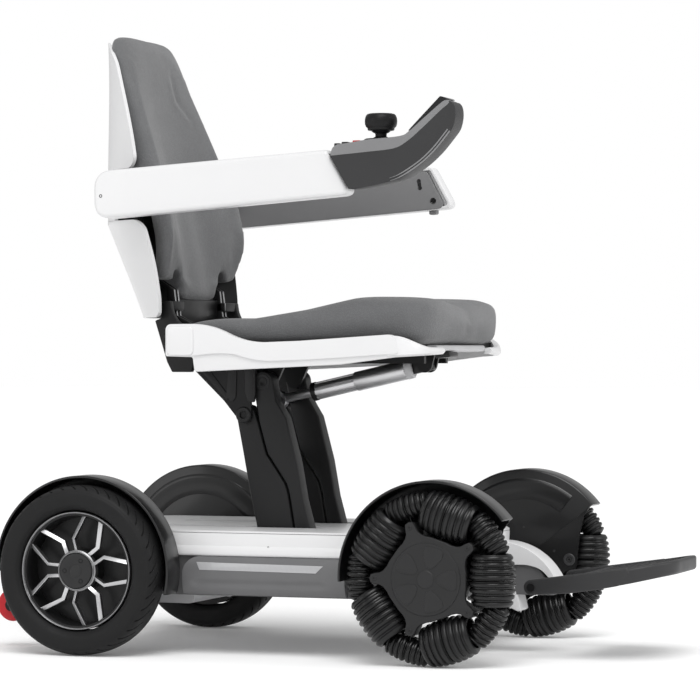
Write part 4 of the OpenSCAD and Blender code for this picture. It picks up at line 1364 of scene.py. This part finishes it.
@dataclass
class Back:
    """Backrest: white shell with wings, fluted cushion with its tongue between the hinge bars."""

    foot: Point2 = (-186.0, 530.0)
    lean: float = 12.0
    thick: float = 36.0
    half: float = 150.0
    tongue: float = 72.0
    flute: float = 1.3
    flute_w: float = 84.0
    notch_z: float = 560.0
    notch_r: float = 17.5
    hinge_y: float = 93.0
    wall: float = 5.0
    curl: float = 2.4
    waist_z: float = 650.0
    hinge: Point2 = (-130.0, 470.0)
    lug: float = 141.0
    carrier: Point2 = (-225.0, 680.0)
    plump: Plump = Plump(0.004, 0.002, 2.0, 2)

    def x(self, z: float) -> float:
        """Middle of the cushion's front face at a height."""
        return self.foot[0] - (z - self.foot[1]) * math.tan(math.radians(self.lean))

    def behind(self, z: float) -> float:
        """Front face of the bars behind the cushion at a height."""
        return self.x(z) - self.thick - 0.6

    def width(self, z: float) -> float:
        """Half-width of the cushion at a height."""
        return (self.tongue + (self.half - 6 - self.tongue) * ramp(z, 555, 568) + 6 * ramp(z, 568, 612)
                - 32 * ramp(z, 700, 945))

    def ring(self, z: float, s: float) -> list[Point3]:
        """A ring of the cushion at a height, shrunk by s: bolsters, flutes and one slanting fold."""
        w, d = self.width(z) * s, (self.thick - 6 * ramp(z, 760, 930)) / 2
        bolster = 48 * ramp(z, 520, 640) * (1 - ramp(z, 670, 960))
        level = ramp(z, 680, 760)
        fold_y = 50 + 34 * (1 - ramp(z, 812, 852))
        fold = ramp(z, 806, 826) * (1 - ramp(z, 872, 900))
        points = []
        for i in range(144):
            t = math.radians(2.5 * i)
            y, f = w * spow(math.cos(t), 0.7), math.sin(t)
            wave = math.cos(math.radians(y * 360 / self.flute_w))
            flute = self.flute * s * wave * (1 - 0.85 * ramp(z, 660, 760))
            dent = fold * (3.4 * bump(y, fold_y, 5.0) - 1.8 * bump(y, fold_y - 13, 9.0))
            sides = bolster * (y / w) ** 2 * s * (1 - level * (1 - ramp(f, -1.0, 0.7)))
            front = (flute - dent) * ramp(f, 0.0, 0.6)
            points.append((self.x(z) - d + d * s * spow(f, 0.5) + sides + front, y, z))
        return points

    def cushion(self) -> None:
        """Fluted cushion with arch notches over the hinge bars."""
        shape = Shape()
        ends = [(531, 0.6), (532, 0.76), (534, 0.9), (537, 0.97)]
        body = [(z, 1.0) for z in [*range(542, 582, 3), *range(585, 800, 9), *range(802, 892, 5)]]
        tops = [(896, 0.997), (902, 0.99), (908, 0.98), (914, 0.966), (920, 0.946), (926, 0.918),
                (931, 0.884), (935, 0.838), (938, 0.78), (940, 0.7), (941.4, 0.58), (942, 0.42)]
        shape.loft([self.ring(z, s) for z, s in ends + body + tops])
        made = shape.piece("back_pad", FABRIC, "backrest", "grey_fabric", ["back_cushion"], 60)
        cutter = Shape()
        for s in (-1, 1):
            y = s * self.hinge_y
            cutter.rod((-320, y, self.notch_z), (-100, y, self.notch_z), self.notch_r, 48)
        carve(made, cutter)
        self.plump.run(made)

    def reach(self, z: float) -> float:
        """Share of the half-width that the wings reach, rounded above and below the armrest carriers."""
        inside = min((754 - z) / 22, (z - 636) / 18)
        cut = 0.32 if inside >= 1 else 0.1 * (1 - math.sqrt(1 - max(0.0, inside) ** 2))
        return 1 - cut - 0.05 * max(0.0, (512 - z) / 7) ** 2 - 0.26 * max(0.0, (z - 888) / 42) ** 2

    def shell_ring(self, z: float) -> list[Point3]:
        """A ring of the shell at a height: inner face out to one wing and back along the outer face."""
        depth = 118 - 0.236 * abs(z - self.waist_z)
        w = 160 + 6 * ramp(z, 500, 620) - 38 * ramp(z, 720, 945)
        fore = (depth + 2 + 6 * bump(z, 590, 60) - 6 * (1 - ramp(z, 490, 540)) - 14 * ramp(z, 760, 930)
                - 9 * (1 - ramp(z, 640, 700)))
        rear = self.x(z) - depth
        steps = [self.reach(z) * math.sin(math.radians(a * 3)) for a in range(-30, 31)]
        thin = self.wall * (1 - 0.5 * max(0.0, (508 - z) / 3) - 0.5 * max(0.0, (z - 927) / 3))
        inner = [(rear + thin + (fore - thin * 0.4) * abs(u) ** self.curl, (w - thin) * u, z) for u in steps]
        return inner + [(rear + fore * abs(u) ** self.curl, w * u, z) for u in reversed(steps)]

    def looks_to_cushion(self, face: bmesh.types.BMFace) -> bool:
        """Whether a face of the shell looks towards the cushion."""
        spot = face.calc_center_median()
        towards = Vector((self.x(spot.z) + 60, 0, spot.z)) - spot
        return face.normal.dot(towards) > 0.4 * towards.length

    def shell(self) -> None:
        """Curved white shell, near-black on the faces that look towards the cushion, and the cover over the
        hinge bars' feet.
        """
        shape = Shape()
        heights = [505, 506, 508, 512, *range(518, 632, 8), 636, 639, 642, 645, 647.5, 650, 651.5, 652.6,
                   653.4, 653.9, 654.4, *range(660, 730, 8), 731.4, 732, 732.6, 733.5, 735, 737, 739.5,
                   742.5, 746, 750, 754, *range(760, 920, 8), 922, 926, 929, 930]
        shape.loft([self.shell_ring(z) for z in heights])
        shape.bevel(1.2, 3, 50)
        # Faces that look towards the cushion take the near-black accent finish.
        shape.paint(self.looks_to_cushion)
        shape.piece("back_shell_skin", WHITE, "backrest", "white_gloss", ["back_shell"], 40, BLACK)
        cover = rounded([(-206, 482, 2), (-197, 482, 2), (-193, 534, 2), (-202, 534, 2)], 4)
        slab("hinge_cover", cover, (-84.0, 84.0), 1.5, BLACK, "backrest", "black_plastic")

    def bar_front(self, face: bmesh.types.BMFace) -> bool:
        """Whether a face is the bright front edge of a hinge bar."""
        spot = face.calc_center_median()
        return face.normal.x > 0.6 and 500 < spot.z < 575 and abs(spot.y) < self.hinge_y + 10

    def frame(self) -> None:
        """Paired hinge bars, side arms with their heels, armrest carriers and cross members."""
        px, pz = self.hinge
        x, z = self.carrier
        fronts = [(self.behind(height), height) for height in (574, 604, 800)]
        rears = [(front - 10, height) for front, height in reversed(fronts)]
        bar = [(px, pz - 9), (px + 4, pz + 9), (-185, 508), (-190, 548), *fronts, *rears, (-204, 550),
               (-199, 496)]
        heel = [(-196, 530), (-196, 504), (-206, 500), (-186, 437), (-178, 422), (-147, 422)]
        arm = (heel + arc(self.hinge, 20, -110, 70, 20)
               + flow([(-138, 489), (-156, 491), (-170, 500), (-178, 514), (-181, 530)], 4))
        shape = Shape()
        for y0, y1 in ((-9.0, -3.6), (3.6, 9.0)):
            shape.prism(bar, self.hinge_y + y0, self.hinge_y + y1)
        shape.prism(arm, self.lug - 13, self.lug - 0.6)
        shape.block((-196, self.hinge_y - 9, 516), (-181, self.lug - 12, 530))
        shape.block((-268, self.hinge_y + 8, 664), (-256, 190, 696))
        shape.prism([(-268, 664), (x - 15, 664)] + arc(self.carrier, 14, -90, 90, 16)
                    + [(x - 15, 696), (-268, 696)], 180, 190)
        shape.bevel(1.4, 3, 40)
        shape.rod((x, 189, z), (x, 256, z), 9.0)
        shape.mirrored()
        shape.rod((px, -self.hinge_y, pz), (px, self.hinge_y, pz), 10.0)
        low, top = 784, 800
        shape.prism([(self.behind(low) - 10, low), (self.behind(low), low), (self.behind(top), top),
                     (self.behind(top) - 10, top)], -self.hinge_y, self.hinge_y)
        shape.block((-320, -10, 788), (-285, 10, 796))
        shape.paint(self.bar_front)
        shape.piece("back_frame_bars", COATED, "backrest", "black_steel", ["back_frame"], 30, SATIN)

    def build(self) -> None:
        """Builds the back."""
        self.cushion()
        self.shell()
        self.frame()


# Arms and controls

@dataclass
class Armrest(Sided):
    """Armrest: white body with rounded edges and an inner panel with its sockets."""

    y0: float = 226.0
    y1: float = 260.0
    rim: float = 4.6
    recess: float = 8.6
    cap: Point2 = (-242.5, 685.0)

    @property
    def body(self) -> str:
        """Name of the armrest's body."""
        return self.named("armrest")

    @property
    def face(self) -> float:
        """Inner face of the panel."""
        return self.y0 - 0.8

    def flip(self, shape: Shape) -> Shape:
        """Moves a shape drawn on the left to the armrest's own side."""
        if self.side is Side.RIGHT:
            bmesh.ops.scale(shape.bm, vec=(1, -1, 1), verts=shape.bm.verts[:])
        return shape

    def skin(self) -> None:
        """White body with a recess on its inner side."""
        skin = Shape()
        outline = rounded([(-255, 650, 26), (153, 681, 12), (116, 747, 9), (-255, 722, 28)], 10)
        skin.prism(outline, self.y0, self.y1)
        skin.bevel(12.0, 8, 40, lambda p: p.y > self.y1 - 1)
        skin.normals()
        inner = [f for f in skin.bm.faces if f.normal.y < -0.99]
        bmesh.ops.inset_region(skin.bm, faces=inner, thickness=self.rim, use_even_offset=True)
        bmesh.ops.inset_region(skin.bm, faces=inner, thickness=0.3, depth=-self.recess)
        skin.bevel(0.8, 2, 60, lambda p: p.y < self.y0 + 0.5)
        self.flip(skin).piece(self.named("armrest_skin"), WHITE, self.body, "white_gloss", [self.body], 30)

    def panel(self) -> None:
        """Inner panel with its three sockets, their holes shown by flat near-black discs of painted shade."""
        panel = Shape()
        outline = rounded([(-250, 651.0, 22), (140, 680.9, 10), (108, 741, 8), (-250, 716.6, 22)], 10)
        panel.prism(outline, self.face, self.y0 + self.recess)
        panel.bevel(1.2, 3, 30, lambda p: p.y < self.face + 0.5)
        self.flip(panel).piece(self.named("armrest_inner"), PANEL, self.body, "dark_grey",
                               [self.named("armrest_panel")], 30)
        # The socket holes are not cut: the flat near-black discs and the bridge between two of them are
        # painted shade.
        sockets = Shape()
        for x, z, r in ((95, 725, 3.4), (97, 714, 3.4), (119, 693, 5.0)):
            sockets.lathe([(AXIS, 0.1), (r * 0.7, 0.1), (r * 0.8, 0.5), (r, 0.4), (r * 1.08, -0.4),
                           (AXIS, -0.4)],
                          at(x, z, self.face) @ facing(-1), 32)
        bridge = rounded([(93.4, 716, 2), (99.4, 716, 2), (98.4, 724, 2), (92.6, 724, 2)], 4)
        sockets.prism(bridge, self.face - 0.3, self.face + 0.4)
        self.flip(sockets).piece(self.named("armrest_socket_shade"), SCREEN_AND_HOLE_SHADE, self.body, "black_plastic")

    def build(self) -> None:
        """Builds the armrest."""
        self.skin()
        self.panel()
        if self.side is Side.LEFT:
            knob = rounded([(110, 671, 3), (122, 672, 3), (122, 684, 1), (110, 683, 1)], 5)
            slab("armrest_release", knob, (self.y0 + 6, self.y0 + 20), 1.2, PANEL, self.body, "dark_grey")
        y1 = self.y1
        cap = Shape()
        cap.lathe([(AXIS, y1 - 0.3), (1.2, y1 - 0.3), (1.5, y1 + 0.2), (2.4, y1 + 0.3), (2.8, y1 - 0.4),
                   (2.8, y1 - 2.0), (AXIS, y1 - 2.0)], at(*self.cap), 32)
        self.flip(cap).piece(self.named("armrest_pin_cap"), DARK, self.body, "dark_grey")


@dataclass
class Controller:
    """Drive controller on the right armrest: housing, raised strip, screen, joystick and keys."""

    y0: float = 226.5
    y1: float = 266.0
    stick: Point2 = (195.0, 748.0)
    well: float = 17.2
    dome: float = 18.6
    collar_stretch: float = 1.28
    key_foot: float = 747.0
    key_half: float = 5.9
    body: str = "armrest_right"

    @property
    def y(self) -> float:
        """Middle of the controller on the right side."""
        return -(self.y0 + self.y1) / 2

    def ridges(self, line: list[Point2]) -> None:
        """Two thin ridges along the lower edge of the outer side."""
        shape = Shape()
        last = len(line) - 1
        for low, high in ((0.4, 2.6), (4.4, 6.4)):
            inner, outer = [], []
            for i, (x, z) in enumerate(line):
                along = (Vector(line[min(i + 1, last)]) - Vector(line[max(i - 1, 0)])).normalized()
                top = low + (high - low) * (ramp(i, 0, 6) * 0.7 + 0.3)
                outer.append((x - along.y * low, z + along.x * low))
                inner.append((x - along.y * top, z + along.x * top))
            shape.prism(outer + inner[::-1], -self.y1 - 0.7, -self.y1 + 6.0)
        shape.bevel(0.5, 2, 50)
        shape.piece("controller_ridges", STRIP, self.body, "grey_plastic", smooth=40)

    def case(self) -> list[bpy.types.Object]:
        """Housing, ridges, raised strip and screen; returns the pieces that the joystick's well cuts."""
        under = flow([(150.8, 689.2), (163, 688.6), (200, 695.4), (231, 703.6), (261, 721.2), (283.5, 740.6),
                      (302, 762)], 6)
        tip = flow([(302, 762), (310.5, 774), (314.4, 790), (313.4, 804), (308.6, 811), (301.6, 812.4)], 5)
        split = flow([(302.5, 806.7), (292, 798.7), (266, 775.5), (242, 756), (221, 745.7), (179, 741.4),
                      (124, 737)], 5)
        body = Shape()
        body.prism(under + tip[1:] + [(x - 1, z + 3) for x, z in split[2:]] + [(120.6, 741)], -self.y1,
                   -self.y0)
        body.bevel(3.4, 5, 40)
        housing = body.piece("controller_housing", DARK, self.body, "dark_grey", ["controller_body"], 30)
        self.ridges(under[15:] + tip[1:4])
        top = flow([(303.6, 813.4), (294, 811), (266, 788.4), (244, 770.4), (229.6, 763.6), (184, 760),
                    (157.7, 756.4), (134, 753.4)], 5)
        back = flow([(134, 753.4), (127.4, 749), (124, 741)], 5)
        panel = Shape()
        panel.prism(split[::-1] + [(305.4, 810)] + top + back[1:], -self.y1 - 0.4, -self.y0 + 0.3)
        panel.bevel(1.6, 3, 40)
        strip = panel.piece("controller_top", STRIP, self.body, "grey_plastic", ["controller_panel"], 30)
        screen = Shape()
        outline = rounded([(237, 765.6, 1), (291, 819.6, 3), (303.5, 816, 3), (294, 810, 1)], 5)
        screen.prism(outline, -self.y1 + 0.6, -self.y0 - 0.8)
        screen.bevel(1.0, 3, 40)
        screen.piece("controller_screen", SCREEN_AND_HOLE_SHADE, self.body, "black_plastic")
        return [housing, strip]

    def joystick(self, cut: list[bpy.types.Object]) -> None:
        """Well, collar and the knob on its neck, with a dome about the pivot that closes the well."""
        x, z = self.stick
        where = at(x, z, self.y) @ Matrix.Rotation(math.radians(90), 4, "X")
        for made in cut:
            well = Shape()
            well.rod((x, self.y, z - 10), (x, self.y, z + 20), self.well)
            carve(made, well)
        collar = Shape()
        collar.lathe([(19.6, 8.0), (19.6, 12.2), (18.9, 13.2), (17.6, 13.8), (16.2, 13.9), (14.8, 13.6),
                      (17.4, 9.2), (17.6, 8.0)], where, 64)
        bmesh.ops.scale(collar.bm, vec=(self.collar_stretch, 1, 1), verts=collar.bm.verts[:], space=at(-x, 0))
        collar.piece("joystick_collar", BLACK, self.body, "black_rubber", smooth=40)
        head = [(AXIS, 48.0), (7.0, 48.2), (13.0, 49.2), (17.0, 49.8), (20.0, 49.0), (22.0, 46.6),
                (23.2, 43.0), (23.6, 38.6), (23.2, 34.2), (21.8, 30.6), (20.2, 29.4), (19.6, 28.4),
                (19.4, 26.2), (18.4, 25.4)]
        neck = [(15.2, 25.0), (13.6, 24.2), (12.4, 23.0), (11.0, 22.0), (9.5, 21.6), (8.4, 20.4), (8.2, 16.7)]
        dome = arc((0, 0), self.dome, 62, 50, 5) + arc((0, 0), self.dome - 1, 50, 72, 6)
        stem = [(4.5, 13.0), (4.5, -6.0), (AXIS, -6.0)]
        knob = Shape()
        knob.lathe(head + neck + dome + stem, where, 64, False)
        knob.piece("joystick_knob", KNOB, "joystick_stick", "black_rubber", ["joystick_stick"], 45)

    def keys(self) -> None:
        """Red power key and two dark keys."""
        for name, x, half, top, finish, slot in (("power_button", 159, 6.0, 759.8, RED, "red_plastic"),
                                                 ("horn_button", 141, 5.0, 758.0, BLACK, "black_plastic"),
                                                 ("speed_button", 129, 4.4, 756.2, BLACK, "black_plastic")):
            key = Shape()
            key.block((x - half, self.y - self.key_half, self.key_foot),
                      (x + half, self.y + self.key_half, top))
            key.bevel(1.2, 3, 40, lambda p: p.z > self.key_foot + 3)
            key.piece(f"{name}_cap", finish, name, slot, [name])

    def build(self) -> None:
        """Builds the controller."""
        self.joystick(self.case())
        self.keys()


@dataclass
class Footplate:
    """Hinged footplate: sloped ribbed tread with rounded corners between two cheeks."""

    pivot: Point2 = (382.0, 107.0)
    eye: float = 11.5
    rear: float = 442.0
    tip: float = 590.0
    half: float = 115.0
    slope: float = 8.8
    corner: float = 70.0
    drawn: float = 21.0
    edge: float = 4.5
    ribs: int = 9
    rib_pitch: float = 12.0

    def depth(self, x: float) -> float:
        """Thickness of the plate at x."""
        return 25.0 - 4.0 * ramp(x, self.tip - 120, self.tip)

    def level(self, x: float) -> float:
        """Height of the plate's rim at x."""
        return 116 + (x - self.pivot[0]) * math.tan(math.radians(self.slope))

    def ring(self, inset: float, z: float) -> list[Point3]:
        """Outline of the plate, moved inwards, at one height."""
        x0, side, middle = self.rear + inset, self.half - inset, self.tip - self.corner
        near = [(x0 + (middle - x0) * k / 8, -side) for k in range(8)]
        outline = near + arc((middle, -self.half + self.corner), self.corner - inset, -90, 0, 20)
        outline += arc((middle, self.half - self.corner), self.corner - inset, 0, 90, 20)
        outline += [(x, -y) for x, y in near[::-1]]
        return [(x, y, z) for x, y in outline]

    def tread(self) -> None:
        """Plate with a rolled edge and a recessed, ribbed top, drawn flat and then sloped."""
        shape = Shape()
        edge = [(self.edge - x, self.edge - self.drawn + z) for x, z in arc((0, 0), self.edge, -90, 0, 6)]
        edge += [(self.edge - x, z - self.edge) for x, z in arc((0, 0), self.edge, 0, 90, 6)]
        shape.loft([self.ring(inset, z) for inset, z in edge + [(8.5, 0.0), (9.7, -2.4)]])
        for k in range(self.ribs):
            x = self.rear + 16 + self.rib_pitch * k
            reach = self.half - 20 - 26 * ramp(x, self.tip - 50, self.tip - 10)
            shape.block((x - 1.8, -reach, -2.6), (x + 1.8, reach, -1.2))
        for vertex in shape.bm.verts:
            lift = self.level(vertex.co.x) + ramp(vertex.co.x, self.tip - 60, self.tip)
            vertex.co.z = lift + vertex.co.z * self.depth(vertex.co.x) / self.drawn
        shape.piece("footplate_tread", DARK, "footplate", "dark_grey", ["footplate"], 35)

    def cheeks(self) -> None:
        """Side cheeks that hang on the hinge rod."""
        shape = Shape()
        end = self.tip - 58
        stations = [x for x in (self.rear + 8 * k for k in range(10)) if x < end]
        under = [(x, self.level(x) - self.depth(x) - 0.3) for x in stations]
        front = [(end, self.level(end) - 8), (end - 5, self.level(end - 5) + 0.5)]
        shape.prism(arc(self.pivot, self.eye, 100, 262, 20) + under + front, self.half - 8.0, self.half + 0.2)
        shape.bevel(2.4, 4, 30)
        shape.mirrored().piece("footplate_cheeks", DARK, "footplate", "dark_grey", smooth=30)

    def build(self) -> None:
        """Builds the footplate."""
        self.tread()
        self.cheeks()


# Studio

@dataclass(frozen=True)
class Lamp:
    """A lamp in metres and watts, turned towards the chair's middle: a soft sun where it has no size."""

    name: str
    place: Point3
    power: float
    size: float = 0.0
    target: Point3 = (0.0, 0.0, 0.45)

    def light(self) -> None:
        """Adds the lamp."""
        lamp = bpy.data.lights.new(self.name, "AREA" if self.size else "SUN")
        lamp.energy = self.power
        if self.size:
            lamp.shape = "DISK"
            lamp.size = self.size
        else:
            lamp.angle = math.radians(38)
        holder = bpy.data.objects.new(self.name, lamp)
        bpy.context.scene.collection.objects.link(holder)
        holder.location = self.place
        holder.rotation_euler = (Vector(self.target) - Vector(self.place)).to_track_quat("-Z", "Y").to_euler()


LAMPS = (Lamp("sun", (0.5, -1.1, 2.4), 1.75), Lamp("key", (0.4, -3.0, 2.4), 14.0, 1.6),
         Lamp("front", (3.2, 0.2, 1.6), 26.0, 1.8), Lamp("side", (-2.4, -2.8, 1.3), 10.0, 1.6))


@dataclass(frozen=True)
class Studio:
    """Pale floor, white background, soft lamps and the photograph's camera, in metres."""

    floor_half: float = 30.0
    glow: float = 0.09
    sky: float = 0.56
    lens: float = 165.28
    sensor: float = 36.0
    shift: float = -0.0019
    eye: Point3 = (1.6598, -4.6427, 0.4575)
    azimuth: float = 19.71

    def floor(self) -> None:
        """Plain pale floor that keeps the shadow."""
        bm = bmesh.new()
        bmesh.ops.create_grid(bm, x_segments=2, y_segments=2, size=self.floor_half)
        mesh = bpy.data.meshes.new("floor")
        bm.to_mesh(mesh)
        bm.free()
        floor = bpy.data.objects.new("floor", mesh)
        bpy.context.scene.collection.objects.link(floor)
        tree = Tree("floor_pale")
        tree.set(Base_Color=(0.93, 0.93, 0.93), Roughness=0.9, Specular_IOR_Level=0.1,
                 Emission_Color=(1.0, 1.0, 1.0), Emission_Strength=self.glow)
        mesh.materials.append(tree.material)

    def world(self) -> None:
        """Soft light from all round, and white where the camera looks past the chair."""
        world = bpy.data.worlds.new("studio")
        bpy.context.scene.world = world
        world.use_nodes = True
        nodes, links = world.node_tree.nodes, world.node_tree.links
        soft, white = nodes["Background"], nodes.new("ShaderNodeBackground")
        for node, strength in ((soft, self.sky), (white, 1.0)):
            node.inputs["Color"].default_value = (1, 1, 1, 1)
            node.inputs["Strength"].default_value = strength
        mix = nodes.new("ShaderNodeMixShader")
        path = nodes.new("ShaderNodeLightPath")
        for source, socket in zip((path.outputs["Is Camera Ray"], soft.outputs[0], white.outputs[0]),
                                  mix.inputs):
            links.new(source, socket)
        links.new(mix.outputs[0], nodes["World Output"].inputs["Surface"])

    def camera(self) -> None:
        """The photograph's camera: level, with a slight shift."""
        view = bpy.data.cameras.new("photo")
        view.lens = self.lens
        view.sensor_width = self.sensor
        view.shift_y = self.shift
        camera = bpy.data.objects.new("photo", view)
        bpy.context.scene.collection.objects.link(camera)
        camera.location = self.eye
        camera.rotation_euler = (math.radians(90), 0, math.radians(self.azimuth))
        bpy.context.scene.camera = camera

    def build(self) -> None:
        """Sets the stage."""
        bpy.context.scene.view_settings.view_transform = "Standard"
        self.floor()
        self.world()
        for lamp in LAMPS:
            lamp.light()
        self.camera()


# CAD nodes that stay in view
KEPT = {"base_tray": INSET, "drive_motors": SATIN, "battery_pack": PALE, "power_controller": BLACK,
        "chassis_frame": COATED, "seat_frame": COATED, "actuator_rod": BRIGHT, "joystick_gimbal": BRIGHT,
        "anti_tip_wheel_right": TIP, "anti_tip_wheel_left": TIP}


def main() -> None:
    """Builds every piece, dresses the CAD nodes that stay, and sets the stage."""
    logging.basicConfig(level=logging.INFO, format="%(message)s")
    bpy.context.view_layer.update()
    for side in Side:
        RearWheel(side).build()
        OmniWheel(side).build()
        Armrest(side).build()
    for part in (Base(), Lift(), Seat(), Back(), Controller(), Footplate()):
        part.build()
    for node, finish in KEPT.items():
        dress(node, finish)
    Studio().build()


if __name__ == "__main__":
    main()
